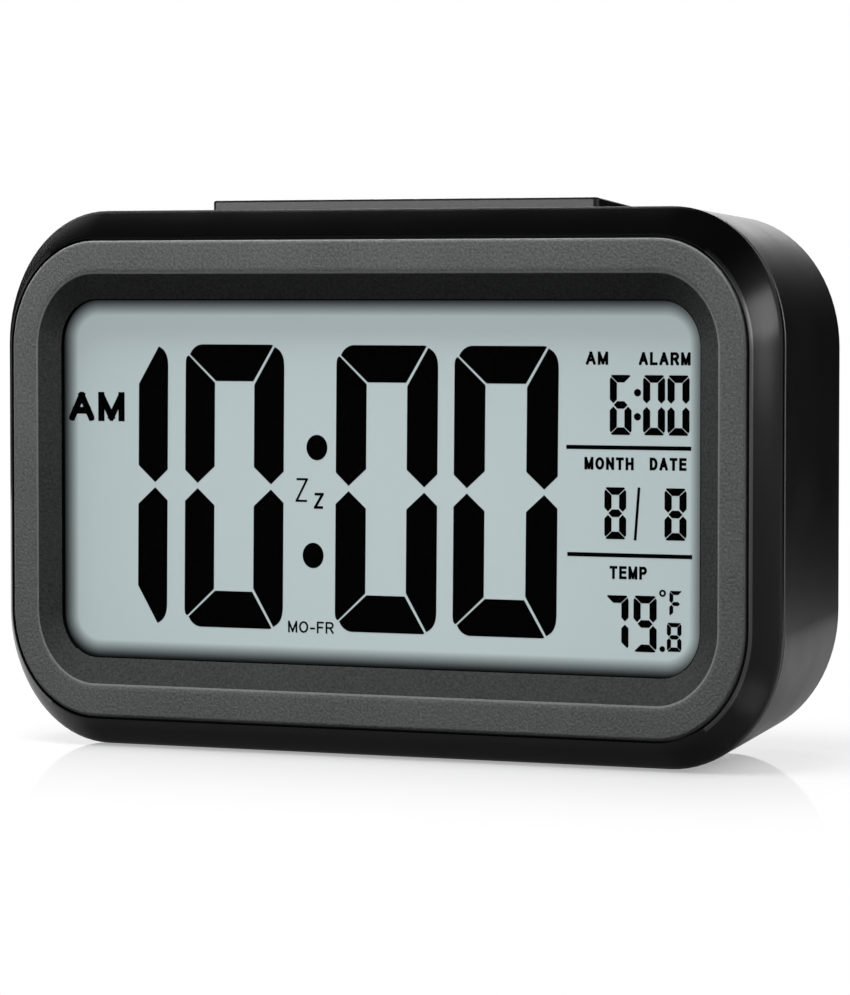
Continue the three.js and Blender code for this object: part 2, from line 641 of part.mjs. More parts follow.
function addRearHousing() {
  const bay = bayShapes();
  const joined = [rearShell(), bay.block];
  const cut = [...bay.cuts, ...rearHoles(), ...barOpening(), footPocket(-1), footPocket(1)];
  const postStart = CASE_POST_JOINT_Y + FIT_GAP / 2;
  const root = REAR_INNER_Y + JOIN;
  for (const place of CASE_POSTS) {
    joined.push(rodY(place, postStart, root, CASE_POST.r));
    joined.push(rodY(place, SCREW_WELL_FLOOR - WALL, root, SCREW_WELL.outerR, WELL_STEPS));
    cut.push(rodY(place, postStart - CUT, SCREW_WELL_FLOOR + JOIN, CASE_POST.hole));
    cut.push(rodY(place, SCREW_WELL_FLOOR, REAR_Y + CUT, SCREW_WELL.r, WELL_STEPS));
  }
  for (const side of [-1, 1]) {
    const place = [side * REAR_BOSS.x, REAR_BOSS_Z];
    joined.push(rodY(place, REAR_BOARD_FACE, root, REAR_BOSS.r));
    cut.push(rodY(place, REAR_BOARD_FACE - CUT, REAR_INNER_Y - REAR_BOSS.roof, REAR_BOSS.hole));
  }
  piece('rear_housing', carve(joined, cut), 'satinBlack');
}

// Heights for the bar's loops: some way under its top, which falls to the rear, or all level
function underTop(by) {
  const slope = (BAR_TOP_REAR - BAR_TOP_FRONT) / (BAR.rear - BAR.front);
  return (y) => BAR_TOP_FRONT + slope * (y - BAR.front) - by;
}

function level(z) {
  return () => z;
}

// A loop round the bar's plan, where heightAt gives each point's height from its depth
function barLoop(insetBy, heightAt) {
  const w = BAR.w - insetBy;
  const front = BAR.front + insetBy;
  const rear = BAR.rear - insetBy;
  const r = BAR.r - insetBy;
  const corners = [[w - r, front + r, 3], [w - r, rear - r, 0], [r - w, rear - r, 1], [r - w, front + r, 2]];
  const points = [];
  for (const [cornerX, cornerY, quarter] of corners) {
    for (let step = 0; step <= BAR_CORNER_STEPS; step += 1) {
      const angle = (quarter + step / BAR_CORNER_STEPS) * Math.PI / 2;
      const y = cornerY + r * Math.sin(angle);
      points.push([cornerX + r * Math.cos(angle), y, heightAt(y)]);
    }
  }
  return points;
}

// The band of the bar's front face, wrapped a little round its corners
function barBand(gap) {
  const { side, thick, wrap, above, below } = BAR_STRIP;
  const low = BAR.bottom + above - gap;
  const high = BAR_TOP_FRONT - below + gap;
  const [under, over] = [low - CUT, high + CUT];
  const outer = skin([barLoop(0, level(high)), barLoop(0, level(low))], false);
  const inner = skin([barLoop(thick + gap, level(over)), barLoop(thick + gap, level(under))], false);
  const reach = BAR.w - side + gap;
  const window = box(-reach, reach, BAR.front - CUT, BAR.front + wrap + gap, under, over);
  return common(carve([outer], [inner]), window);
}

function addSnoozeBar() {
  const body = skin([
    barLoop(BAR_EDGE, underTop(0)),
    barLoop(BAR_EDGE * 0.3, underTop(BAR_EDGE * 0.3)),
    barLoop(0, underTop(BAR_EDGE)),
    barLoop(0, level(BAR.bottom)),
  ], false);
  const ribY = BOARD_REAR_Y + SNOOZE_SWITCH.deep / 2;
  const ribBottom = SNOOZE_SWITCH_TOP + BAR_PLUNGER.gap;
  const half = BAR_PLUNGER.deep / 2;
  const ribTop = BAR.bottom + JOIN;
  const rib = box(-BAR_PLUNGER.w, BAR_PLUNGER.w, ribY - half, ribY + half, ribBottom, ribTop);
  const pinReach = BAR.w + BAR_PIN.reach;
  const pins = rodX(BAR_AXIS, -pinReach, pinReach, BAR_PIN.r);
  piece('snooze_bar', carve([body, rib, pins], [barBand(SMALL_GAP)]), 'satinBlack');
  piece('snooze_bar_strip', barBand(0), 'greyPlastic');
}

function addRearBoard() {
  const { w, y, bottom, top } = REAR_BOARD;
  const board = box(-w, w, y, REAR_BOARD_FACE, bottom, top);
  const holes = [-1, 1].map((side) => (
    rodY([side * REAR_BOSS.x, REAR_BOSS_Z], y - CUT, REAR_BOARD_FACE + CUT, REAR_BOSS.hole)
  ));
  piece('rear_board', carve([board], holes), 'board');
  const bodyEnd = REAR_BOARD_FACE + KEY.height;
  BUTTON_X.forEach((x, index) => {
    const body = boxAt(x, BUTTON.z, KEY.w, KEY.w, REAR_BOARD_FACE, bodyEnd);
    const actuator = rodY([x, BUTTON.z], bodyEnd - JOIN, KEY_TOP, KEY.actuatorR);
    piece(`key_switch_${index + 1}`, carve([body, actuator]), 'epoxy');
  });
  const slideEnd = REAR_BOARD_FACE + SLIDE_SWITCH.deep;
  for (const [side, name] of [[-1, 'alarm'], [1, 'light']]) {
    const { w: half, h } = SLIDE_SWITCH;
    const body = boxAt(side * SLIDER.x, BUTTON.z, half, h, REAR_BOARD_FACE, slideEnd);
    piece(`${name}_switch_body`, body, 'steel');
  }
}

function addRearControls() {
  const { w, h } = BUTTON;
  const flangeW = w + BUTTON_FLANGE.extra;
  const flangeH = h + BUTTON_FLANGE.extra;
  const middle = (FLANGE_FRONT + FLANGE_REAR) / 2;
  BUTTON_X.forEach((x, index) => {
    const place = [x, BUTTON.z];
    const cap = racetrackY(place, w, h, middle, REAR_Y + BUTTON_PROUD);
    const flange = racetrackY(place, flangeW, flangeH, FLANGE_FRONT, FLANGE_REAR);
    const stem = rodY(place, STEM_END, middle, BUTTON_STEM.r);
    piece(`rear_button_${index + 1}`, carve([cap, flange, stem]), 'satinBlack');
  });
  const skirtRear = REAR_INNER_Y - SLIDER_SKIRT.gap;
  const skirtFront = skirtRear - SLIDER_SKIRT.thick;
  const knobStart = REAR_BOARD_FACE + SLIDE_SWITCH.deep + SLIDE_GAP;
  for (const [side, name] of [[-1, 'alarm'], [1, 'light']]) {
    const x = side * SLIDER.x - SLIDER.travel / 2;
    const knob = boxAt(x, BUTTON.z, SLIDER.w, SLIDER.h, knobStart, REAR_Y + SLIDER.proud);
    const skirt = boxAt(x, BUTTON.z, SLIDER_SKIRT.w, SLIDER_SKIRT.h, skirtFront, skirtRear);
    piece(`${name}_slider`, carve([knob, skirt]), 'satinBlack');
  }
}

function addBatteryDoor() {
  const outside = DOOR.y + DOOR.thick;
  const panel = box(-DOOR.w, DOOR.w, DOOR.y, outside, DOOR.bottom, DOOR.top);
  const reach = DOOR.w + DOOR_PIN.reach;
  const pins = rodX(DOOR_AXIS, -reach, reach, DOOR_PIN.r);
  const gripTop = DOOR.top - DOOR_GRIP.fromTop;
  const gripBottom = gripTop - DOOR_GRIP.tall;
  const gripFloor = outside - DOOR_GRIP.deep;
  const grip = box(-DOOR_GRIP.w, DOOR_GRIP.w, gripFloor, outside + CUT, gripBottom, gripTop);
  piece('battery_door', carve([panel, pins], [grip]), 'satinBlack');
}

// A cell along X with its plus nub toward the given side
function cellSolid(side, z) {
  const nubEnd = BAY.w - PLATE_THICK - DIMPLE - SMALL_GAP;
  const minusEnd = nubEnd - CELL.length;
  const shoulder = nubEnd - CELL.nub;
  const { radius, edge, nubRadius } = CELL;
  const profile = [
    [0, minusEnd],
    [radius - edge, minusEnd],
    [radius, minusEnd + edge],
    [radius, shoulder - edge],
    [radius - edge, shoulder],
    [nubRadius, shoulder],
    [nubRadius, nubEnd],
    [0, nubEnd],
  ];
  const geometry = turnedY(profile, [0, 0], ROUND_STEPS);
  return geometry.rotateZ(-side * Math.PI / 2).translate(0, CELL_Y, z);
}

// The middle line of a coil along X that narrows toward its free end
class CoilCurve extends THREE.Curve {
  getPoint(t, target = new THREE.Vector3()) {
    const angle = 2 * Math.PI * SPRING.turns * t;
    const radius = SPRING.radius * (1 - 0.35 * t);
    const along = (SPRING.length - 2 * SPRING.wire) * t;
    return target.set(along, radius * Math.cos(angle), radius * Math.sin(angle));
  }
}

function springSolid(side, z) {
  const section = new THREE.Shape();
  section.absarc(0, 0, SPRING.wire, 0, 2 * Math.PI);
  const geometry = new THREE.ExtrudeGeometry(section, {
    steps: SPRING.turns * SMALL_ROUND_STEPS,
    curveSegments: 3,
    extrudePath: new CoilCurve(),
  });
  geometry.translate(SPRING.wire + PLATE_THICK + SMALL_GAP - BAY.w, 0, 0);
  if (side > 0) geometry.rotateZ(Math.PI);
  return geometry.translate(0, CELL_Y, z);
}

// A contact plate on one side wall, with a dimple toward a cell's plus end where it has one
function contactPlate(side, lowZ, highZ, dimpleZ) {
  const half = CELL.radius - BAY_SIDE_GAP;
  const span = (from, to) => [Math.min(side * from, side * to), Math.max(side * from, side * to)];
  const [x0, x1] = span(BAY.w, BAY.w - PLATE_THICK);
  const shapes = [box(x0, x1, CELL_Y - half, CELL_Y + half, lowZ - half, highZ + half)];
  if (dimpleZ !== null) {
    const [tip, root] = span(BAY.w - SMALL_GAP, BAY.w - PLATE_THICK - DIMPLE);
    shapes.push(rodX({ y: CELL_Y, z: dimpleZ }, tip, root, CELL.nubRadius - FIT_GAP));
  }
  return carve(shapes);
}

function addBatteries() {
  const plusSide = (index) => (index % 2 === 0 ? 1 : -1);
  CELL_Z.forEach((z, index) => {
    piece(`battery_${index + 1}`, cellSolid(plusSide(index), z), 'cell');
    piece(`contact_spring_${index + 1}`, springSolid(-plusSide(index), z), 'steel');
    const nextZ = CELL_Z[index + 1] ?? z;
    const plateSide = -plusSide(index);
    const dimpleZ = nextZ > z ? nextZ : null;
    piece(`contact_plate_${index + 1}`, contactPlate(plateSide, z, nextZ, dimpleZ), 'steel');
  });
  const end = contactPlate(plusSide(0), CELL_Z[0], CELL_Z[0], CELL_Z[0]);
  piece(`contact_plate_${CELL.count + 1}`, end, 'steel');
}

function addBuzzer() {
  const { r, thick, wall } = BUZZER;
  const rear = REAR_INNER_Y - FIT_GAP;
  const front = rear - thick;
  const inner = r - wall;
  const floor = front + wall;
  const profile = [[0, front], [r, front], [r, rear], [inner, rear], [inner, floor], [0, floor]];
  piece('buzzer', turnedY(profile, [SOUND.x, SOUND.z], ROUND_STEPS), 'brass');
}

// A round wire through points chosen along its way
function wireAlong(points) {
  const path = new THREE.CatmullRomCurve3(points.map((point) => new THREE.Vector3(...point)));
  const section = new THREE.Shape();
  section.absarc(0, 0, WIRE_RADIUS, 0, 2 * Math.PI);
  return new THREE.ExtrudeGeometry(section, { steps: 14, curveSegments: 4, extrudePath: path });
}

function addWiring() {
  const start = BAY.w + BAY.wall + SMALL_GAP + WIRE_RADIUS;
  const end = BOARD_REAR_Y + SMALL_GAP;
  const { bow, slack, lift, drop } = WIRE_RUN;
  const wireFor = (side, z, fall) => wireAlong([
    [side * start, CELL_Y, z],
    [side * (start + 0.8 * bow), CELL_Y - slack, z + 0.1 * fall],
    [side * (start + bow), BOARD_REAR_Y + lift, z + 0.5 * fall],
    [side * (start + bow), end, z + fall],
  ]);
  piece('battery_wire_plus', wireFor(1, CELL_Z[0], drop), 'redWire');
  piece('battery_wire_minus', wireFor(-1, CELL_Z[CELL.count - 1], -drop), 'blackWire');
}

// A flat cable between the two boards, drawn from the side and given its width along X
function addRibbon() {
  const { w, thick, drop, sag } = RIBBON;
  const from = REAR_BOARD.y - SMALL_GAP;
  const to = BOARD_REAR_Y + SMALL_GAP;
  const high = REAR_BOARD.bottom + RIBBON.up;
  const low = high - drop;
  const shape = new THREE.Shape();
  shape.moveTo(from, high);
  shape.bezierCurveTo(from - sag, high, to + sag, low, to, low);
  shape.lineTo(to, low - thick);
  shape.bezierCurveTo(to + sag, low - thick, from - sag, high - thick, from, high - thick);
  const ribbon = new THREE.ExtrudeGeometry(shape, { depth: w, bevelEnabled: false, curveSegments: 8 });
  const fromSide = new THREE.Matrix4().makeBasis(
    new THREE.Vector3(0, 1, 0),
    new THREE.Vector3(0, 0, 1),
    new THREE.Vector3(1, 0, 0),
  );
  piece('ribbon_cable', ribbon.applyMatrix4(fromSide).translate(-w / 2, 0, 0), 'ribbon');
}

// A screw along Y whose head sits on seatY and whose shank goes toward -Y
function screwAt(place, seatY, size) {
  const { head, headThick, shank, reach } = size;
  const tip = seatY - reach;
  const top = seatY + headThick;
  const profile = [
    [0, tip],
    [shank * 0.4, tip],
    [shank, tip + shank],
    [shank, seatY],
    [head, seatY],
    [head, top - SCREW_EDGE],
    [head - SCREW_EDGE, top],
    [0, top],
  ];
  return turnedY(profile, place);
}

function addScrews() {
  CASE_POSTS.forEach((place, index) => {
    piece(`case_screw_${index + 1}`, screwAt(place, CASE_SCREW_SEAT, CASE_SCREW), 'steel');
  });
  BOARD_POSTS.forEach((place, index) => {
    const screw = screwAt(place, BOARD_REAR_Y + SMALL_GAP, BOARD_SCREW);
    piece(`main_board_screw_${index + 1}`, screw, 'steel');
  });
  [-1, 1].forEach((side, index) => {
    const screw = screwAt([0, 0], 0, BOARD_SCREW).rotateZ(Math.PI);
    screw.translate(side * REAR_BOSS.x, REAR_BOARD.y - SMALL_GAP, REAR_BOSS_Z);
    piece(`rear_board_screw_${index + 1}`, screw, 'steel');
  });
}

function addFeet() {
  for (const [side, name] of [[-1, 'left'], [1, 'right']]) {
    const x = side * FOOT.x;
    const pad = box(x - FOOT.w, x + FOOT.w, FOOT.front, FOOT.rear, 0, FOOT.top);
    piece(`rear_foot_${name}`, pad, 'rubberBlack');
  }
}

addFrontHousing();
addBezelRing();
addDisplay();
addMainBoard();
addBoardParts();
addRearHousing();
addSnoozeBar();
addRearBoard();
addRearControls();
addBatteryDoor();
addBatteries();
addBuzzer();
addWiring();
addRibbon();
addScrews();
addFeet();

export default clock;
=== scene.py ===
# %% [markdown]
# # A digital table clock
# The clock stands on a white table and is seen from the front and a little from its right. A black
# case frames a grey textured ring, and behind a clear window lies a pale display with black digits.
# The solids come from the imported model. Here each visible one gets a finer piece of its own, and
# the hidden ones get a finish. All work is done in millimetres and turned into metres at the end.

import math

import bpy
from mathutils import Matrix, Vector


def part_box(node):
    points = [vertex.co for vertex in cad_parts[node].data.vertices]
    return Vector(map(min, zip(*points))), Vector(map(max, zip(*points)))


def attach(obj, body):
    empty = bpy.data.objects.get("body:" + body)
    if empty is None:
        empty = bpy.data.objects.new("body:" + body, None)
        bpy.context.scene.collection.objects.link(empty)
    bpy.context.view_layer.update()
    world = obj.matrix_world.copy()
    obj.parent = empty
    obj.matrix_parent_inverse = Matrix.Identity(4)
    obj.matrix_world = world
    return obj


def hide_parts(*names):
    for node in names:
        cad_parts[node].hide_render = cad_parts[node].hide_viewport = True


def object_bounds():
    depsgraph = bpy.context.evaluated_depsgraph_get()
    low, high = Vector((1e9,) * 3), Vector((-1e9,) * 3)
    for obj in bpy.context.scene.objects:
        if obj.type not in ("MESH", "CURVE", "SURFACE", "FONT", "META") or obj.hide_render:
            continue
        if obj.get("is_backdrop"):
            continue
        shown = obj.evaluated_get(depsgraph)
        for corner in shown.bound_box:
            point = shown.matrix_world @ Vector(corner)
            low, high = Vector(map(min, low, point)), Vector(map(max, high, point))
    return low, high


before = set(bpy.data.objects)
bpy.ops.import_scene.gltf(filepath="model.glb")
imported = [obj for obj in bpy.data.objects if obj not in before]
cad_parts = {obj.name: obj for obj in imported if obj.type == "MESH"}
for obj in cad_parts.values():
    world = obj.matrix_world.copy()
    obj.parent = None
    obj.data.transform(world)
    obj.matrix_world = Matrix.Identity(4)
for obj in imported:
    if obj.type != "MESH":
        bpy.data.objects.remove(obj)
cad_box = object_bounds()
MM = 0.001


def span(node):
    """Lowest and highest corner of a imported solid, in millimetres."""
    low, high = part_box(node)
    return low / MM, high / MM


def middle(node):
    low, high = span(node)
    return (low + high) / 2


CASE_LOW, CASE_HIGH = span("front_housing")
FRONT_Y = CASE_LOW.y
MIDDLE_Z = (CASE_LOW.z + CASE_HIGH.z) / 2
print("case", [round(size, 2) for size in CASE_HIGH - CASE_LOW], "front", round(FRONT_Y, 2))

# %% [markdown]
# ## The camera
# The photograph was taken with a long lens from about 67 cm away, 24 degrees to the right of the
# clock's front and slightly from above. A long lens keeps the clock's lines almost parallel. The
# place and the turn were worked out from the edges of the ring, the window and the case.

# %% Camera
CAMERA_PLACE = (268.43, -612.53, 70.22)
CAMERA_TURN = 0.4132
CAMERA_DIP = 0.0473
CAMERA_LENS = 156.17

bpy.ops.object.camera_add(
    location=[part * MM for part in CAMERA_PLACE],
    rotation=(math.pi / 2 - CAMERA_DIP, 0, CAMERA_TURN),
)
camera = bpy.context.object
camera.name = "camera"
camera.data.lens = CAMERA_LENS
camera.data.clip_start = 0.01
bpy.context.scene.camera = camera
bpy.context.scene.view_settings.view_transform = "Standard"
print("camera", [round(part, 3) for part in camera.location], "lens", camera.data.lens)

# %% [markdown]
# ## Helpers for shapes
# Most of the clock is made of rounded rectangles that follow each other from front to rear. Each
# one starts as a plane, its four corners are bevelled, and neighbours are joined with Bridge Edge
# Loops. A section is written as centre x and z, half width, half height, the two corner radii and
# its depth y. Because a section is only numbers, a soft edge is a few sections on a short curve.

# %% Selecting in code
CORNER_STEPS = 20
FACING_FRONT = (math.pi / 2, 0, 0)


def deselect():
    bpy.ops.object.select_all(action="DESELECT")


def choose(piece, *others):
    """Selects a piece and the others alone, and makes the piece the active one."""
    deselect()
    for chosen in (*others, piece):
        chosen.select_set(True)
    bpy.context.view_layer.objects.active = piece


def edit(piece):
    """Makes a piece the only selected one and opens it for editing."""
    choose(piece)
    bpy.ops.object.mode_set(mode="EDIT")


def stop_editing():
    bpy.ops.object.mode_set(mode="OBJECT")


def face_outwards():
    """Turns every face of the edited piece outwards and stops editing."""
    bpy.ops.mesh.select_all(action="SELECT")
    bpy.ops.mesh.normals_make_consistent(inside=False)
    stop_editing()


def pick(piece, wanted):
    """Selects the vertices that a test picks by their number and place, and stays in edit mode."""
    stop_editing()
    mesh = piece.data
    mesh.polygons.foreach_set("select", [False] * len(mesh.polygons))
    mesh.edges.foreach_set("select", [False] * len(mesh.edges))
    mesh.vertices.foreach_set("select", [wanted(vert.index, vert.co) for vert in mesh.vertices])
    bpy.ops.object.mode_set(mode="EDIT")
    bpy.ops.mesh.select_mode(type="VERT")


def rename(piece, name):
    piece.name = name
    piece.data.name = name
    return piece


def empty_piece(name):
    deselect()
    bpy.ops.object.add(type="MESH")
    return rename(bpy.context.object, name)


# %% Sections and soft edges
def section(x, z, w, h, rx, rz, y):
    """A rounded rectangle: its centre, half width, half height, corner radii and depth."""
    return (x, z, w, h, rx, rz, y)


def grown(shape, side, top=None):
    """The section moved outwards by side in x and top in z."""
    x, z, w, h, rx, rz, y = shape
    top = side if top is None else top
    return (x, z, w + side, h + top, rx + side, rz + top, y)


def at(shape, y):
    """The same section at another depth."""
    return (*shape[:-1], y)


def between(first, second, share):
    return tuple(a + (b - a) * share for a, b in zip(first, second))


def toward(start, end, distance):
    """The section at a distance from start on the way to end, at most half of the way."""
    run = math.hypot(end[2] - start[2], end[-1] - start[-1])
    return between(start, end, min(0.5, distance / run))


def curve(start, bend, end, steps=4):
    """Sections or points on a curve from start to end that is pulled toward bend."""
    made = []
    for step in range(steps + 1):
        share = step / steps
        first = between(start, bend, share)
        second = between(bend, end, share)
        made.append(between(first, second, share))
    return made


def soften(profile):
    """Sections from pairs of a section and its round, which turns it into a short curve."""
    made = []
    for index, (shape, size) in enumerate(profile):
        if size == 0:
            made.append(shape)
            continue
        before = toward(shape, profile[index - 1][0], size)
        after = toward(shape, profile[(index + 1) % len(profile)][0], size)
        made.extend(curve(before, shape, after))
    return made


# %% Bridging sections into a piece
def add_outline(shape, steps):
    """A plane whose corners are bevelled while it is scaled so that they are one unit round."""
    x, z, w, h, rx, rz, y = shape
    centre = (x, y, z)
    bpy.ops.mesh.primitive_plane_add(size=2, location=centre, rotation=FACING_FRONT)
    bpy.ops.transform.resize(value=(w / rx, 1, h / rz), center_override=centre)
    bpy.ops.mesh.bevel(offset=1, segments=steps, affect="VERTICES")
    bpy.ops.transform.resize(value=(rx, 1, rz), center_override=centre)


def loft(name, sections, closed=False, steps=CORNER_STEPS):
    """A solid through the sections: capped at both ends, or closed into a frame."""
    piece = empty_piece(name)
    edit(piece)
    for shape in sections:
        add_outline(shape, steps)
    bpy.ops.mesh.select_all(action="SELECT")
    bpy.ops.mesh.delete(type="ONLY_FACE")
    stop_editing()
    count = len(piece.data.vertices) // len(sections)
    bpy.ops.object.mode_set(mode="EDIT")
    pairs = [(number, number + 1) for number in range(len(sections) - 1)]
    if closed:
        pairs.append((len(sections) - 1, 0))
    for near, far in pairs:
        pick(piece, lambda index, place: index // count in (near, far))
        bpy.ops.mesh.bridge_edge_loops()
    if not closed:
        for end in (0, len(sections) - 1):
            pick(piece, lambda index, place: index // count == end)
            bpy.ops.mesh.edge_face_add()
    face_outwards()
    return piece


# %% Modifiers, joining and copies
SHARP_ONLY = {"limit_method": "ANGLE", "angle_limit": math.radians(50)}


def apply(piece, kind, **settings):
    """Adds a modifier with its settings and applies it at once."""
    choose(piece)
    modifier = piece.modifiers.new(kind.lower(), kind)
    for key, value in settings.items():
        setattr(modifier, key, value)
    bpy.ops.object.modifier_apply(modifier=modifier.name)


def cut(piece, cutters, operation="DIFFERENCE"):
    """Cuts each cutter out of the piece, or adds it, and removes the cutter."""
    for cutter in cutters:
        apply(piece, "BOOLEAN", operation=operation, object=cutter, solver="EXACT")
        bpy.data.objects.remove(cutter)


def join(piece, others):
    choose(piece, *others)
    bpy.ops.object.join()


def copy_of(piece, name, shift):
    """A copy with a mesh of its own, moved in edit mode so that its object stays at the origin."""
    choose(piece)
    bpy.ops.object.duplicate(linked=False)
    made = rename(bpy.context.object, name)
    edit(made)
    bpy.ops.mesh.select_all(action="SELECT")
    bpy.ops.transform.translate(value=shift)
    stop_editing()
    return made


def rod(name, start, end, radius, steps=48, axis="Y"):
    """A cylinder between two places on a line along an axis, with its place in its mesh."""
    turn = {"X": (0, math.pi / 2, 0), "Y": FACING_FRONT}[axis]
    centre = between(start, end, 0.5)
    deselect()
    bpy.ops.mesh.primitive_cylinder_add(
        vertices=steps, radius=radius, depth=math.dist(start, end), location=centre, rotation=turn
    )
    made = bpy.context.object
    made.name = name
    bpy.ops.object.transform_apply(location=True, rotation=True, scale=True)
    return made


def cross_rod(name, half, y, z, radius, steps=24):
    """A rod from left to right across the clock's middle."""
    return rod(name, (-half, y, z), (half, y, z), radius, steps, axis="X")


def block(name, low, high):
    """A plain block between two corners, used to cut or to be shaped further."""
    deselect()
    bpy.ops.mesh.primitive_cube_add(size=1, location=between(low, high, 0.5))
    made = bpy.context.object
    made.name = name
    made.scale = [b - a for a, b in zip(low, high)]
    bpy.ops.object.transform_apply(location=True, rotation=True, scale=True)
    return made


# %% [markdown]
# ## Finishing a piece
# A finished piece is scaled from millimetres to metres inside its mesh, shaded smooth up to 35
# degrees, and gets weighted normals, so that wide flat faces stay flat beside their soft edges. Then
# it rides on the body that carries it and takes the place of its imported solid.

# %% Finish
SMOOTH_ANGLE = math.radians(35)


def finish(piece, material, body, slot, *nodes):
    """Turns a piece into metres, smooths and dresses it, and puts it in place of its solids."""
    edit(piece)
    bpy.ops.mesh.select_all(action="SELECT")
    bpy.ops.transform.resize(value=(MM, MM, MM), center_override=(0, 0, 0))
    stop_editing()
    choose(piece)
    bpy.ops.object.shade_smooth_by_angle(angle=SMOOTH_ANGLE)
    apply(piece, "WEIGHTED_NORMAL", keep_sharp=True)
    piece.data.materials.clear()
    piece.data.materials.append(material)
    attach(piece, body)
    if nodes:
        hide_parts(*nodes)
    print(piece.name, len(piece.data.polygons), "faces on", body)
    return piece


# %% [markdown]
# ## Helpers for finishes
# A finish is a small tree of nodes. Sums on values are written as plain Python, and each one adds a
# Math node. Every other node comes from one method that sets its settings first and then feeds its
# sockets. All patterns use Object coordinates, which are metres on the clock itself.

# %% Finish recipes
class Signal:
    """A number that varies over a surface. Sums on it add Math nodes."""

    def __init__(self, recipe, socket):
        self.recipe = recipe
        self.socket = socket

    def __add__(self, other):
        return self.recipe.maths("ADD", self, other)

    __radd__ = __add__

    def __sub__(self, other):
        return self.recipe.maths("SUBTRACT", self, other)

    def __rsub__(self, other):
        return self.recipe.maths("SUBTRACT", other, self)

    def __mul__(self, other):
        return self.recipe.maths("MULTIPLY", self, other)

    __rmul__ = __mul__

    def __truediv__(self, other):
        return self.recipe.maths("DIVIDE", self, other)

    def __abs__(self):
        return self.recipe.maths("ABSOLUTE", self)

    def above(self, edge, width):
        """0 below edge and 1 above it, over a soft band of that width."""
        return self.recipe.maths("ADD", (self - edge) / width, 0.5, clamp=True)


RAY_KINDS = ("Camera", "Glossy", "Transmission")


class Recipe:
    """One material's nodes."""

    def __init__(self, name):
        self.material = bpy.data.materials.new(name)
        self.material.use_nodes = True
        self.tree = self.material.node_tree
        self.shader = self.tree.nodes["Principled BSDF"]
        self.place = self.node("ShaderNodeTexCoord").outputs["Object"]

    def feed(self, socket, value):
        if isinstance(value, Signal):
            self.tree.links.new(value.socket, socket)
        elif isinstance(value, bpy.types.NodeSocket):
            self.tree.links.new(value, socket)
        else:
            socket.default_value = value

    def node(self, kind, settings=None, **sockets):
        made = self.tree.nodes.new(kind)
        for key, value in (settings or {}).items():
            setattr(made, key, value)
        for key, value in sockets.items():
            self.feed(made.inputs[key], value)
        return made

    def maths(self, operation, first, second=0.0, clamp=False):
        made = self.node("ShaderNodeMath", {"operation": operation, "use_clamp": clamp})
        self.feed(made.inputs[0], first)
        self.feed(made.inputs[1], second)
        return Signal(self, made.outputs[0])

    def rays(self):
        """Whether a ray comes from the camera, from gloss or from glass."""
        path = self.node("ShaderNodeLightPath")
        return [Signal(self, path.outputs[f"Is {kind} Ray"]) for kind in RAY_KINDS]

    def noise(self, scale, detail=2.0, roughness=0.5, stretch=(1, 1, 1)):
        """Noise from 0 to 1 whose lumps are about 1 / scale metres wide."""
        mapping = self.node("ShaderNodeMapping", Vector=self.place, Scale=stretch)
        made = self.node(
            "ShaderNodeTexNoise",
            Vector=mapping.outputs["Vector"],
            Scale=scale,
            Detail=detail,
            Roughness=roughness,
        )
        return Signal(self, made.outputs["Fac"])

    def axes(self):
        split = self.node("ShaderNodeSeparateXYZ", Vector=self.place)
        return [Signal(self, split.outputs[axis]) for axis in "XYZ"]

    def mix(self, share, first, second):
        """One colour that goes from first to second as share goes from 0 to 1."""
        made = self.node("ShaderNodeMix", {"data_type": "RGBA"})
        self.feed(made.inputs[0], share)
        self.feed(made.inputs[6], first)
        self.feed(made.inputs[7], second)
        return made.outputs[2]

    def bump(self, height, distance):
        """Raises the surface by up to that distance in metres where height is 1."""
        made = self.node("ShaderNodeBump", Height=height, Distance=distance)
        self.feed(self.shader.inputs["Normal"], made.outputs["Normal"])

    def blend(self, share, first, second):
        """One shader that goes from first to second as share goes from 0 to 1."""
        made = self.node("ShaderNodeMixShader")
        for socket, value in zip(made.inputs, (share, first.outputs[0], second.outputs[0])):
            self.feed(socket, value)
        return made

    def show(self, shader):
        """Puts a shader on the surface in place of the first one."""
        self.feed(self.tree.nodes["Material Output"].inputs["Surface"], shader.outputs[0])
        return self.material

    def set(self, **sockets):
        """Sets or links sockets of the main shader, with _ for a space in their names."""
        for key, value in sockets.items():
            self.feed(self.shader.inputs[key.replace("_", " ")], value)
        return self.material


def shade(value, tint=(1, 1, 1)):
    """A colour from one brightness and a tint."""
    return (value * tint[0], value * tint[1], value * tint[2], 1)


# %% [markdown]
# ## Moulded plastics
# The grey ring has a spark-eroded texture: a fine even grain that breaks up the light. The black
# front is smoother and a little glossy, and the rear shell is satin. Each one is a base colour with
# a slight variation, a noise bump at the size of the real grain, and a roughness that drifts.

# %% Plastics
def moulded(name, brightness, tint, roughness, grain, depth, specular=0.5, spread=0.12):
    """A moulded plastic: grain is the width of its lumps and depth their height, in metres."""
    recipe = Recipe(name)
    fine = recipe.noise(1 / grain, detail=3.0, roughness=0.6)
    broad = recipe.noise(90.0)
    share = recipe.maths("ADD", (fine - 0.5) * 1.8 + 0.35 + broad * 0.3, 0.0, clamp=True)
    dark, pale = (shade(brightness * (1 + way * spread), tint) for way in (-1, 1))
    colour = recipe.mix(share, dark, pale)
    recipe.bump(fine, depth)
    return recipe.set(
        Base_Color=colour,
        Roughness=roughness + (broad - 0.5) * 0.12,
        Specular_IOR_Level=specular,
    )


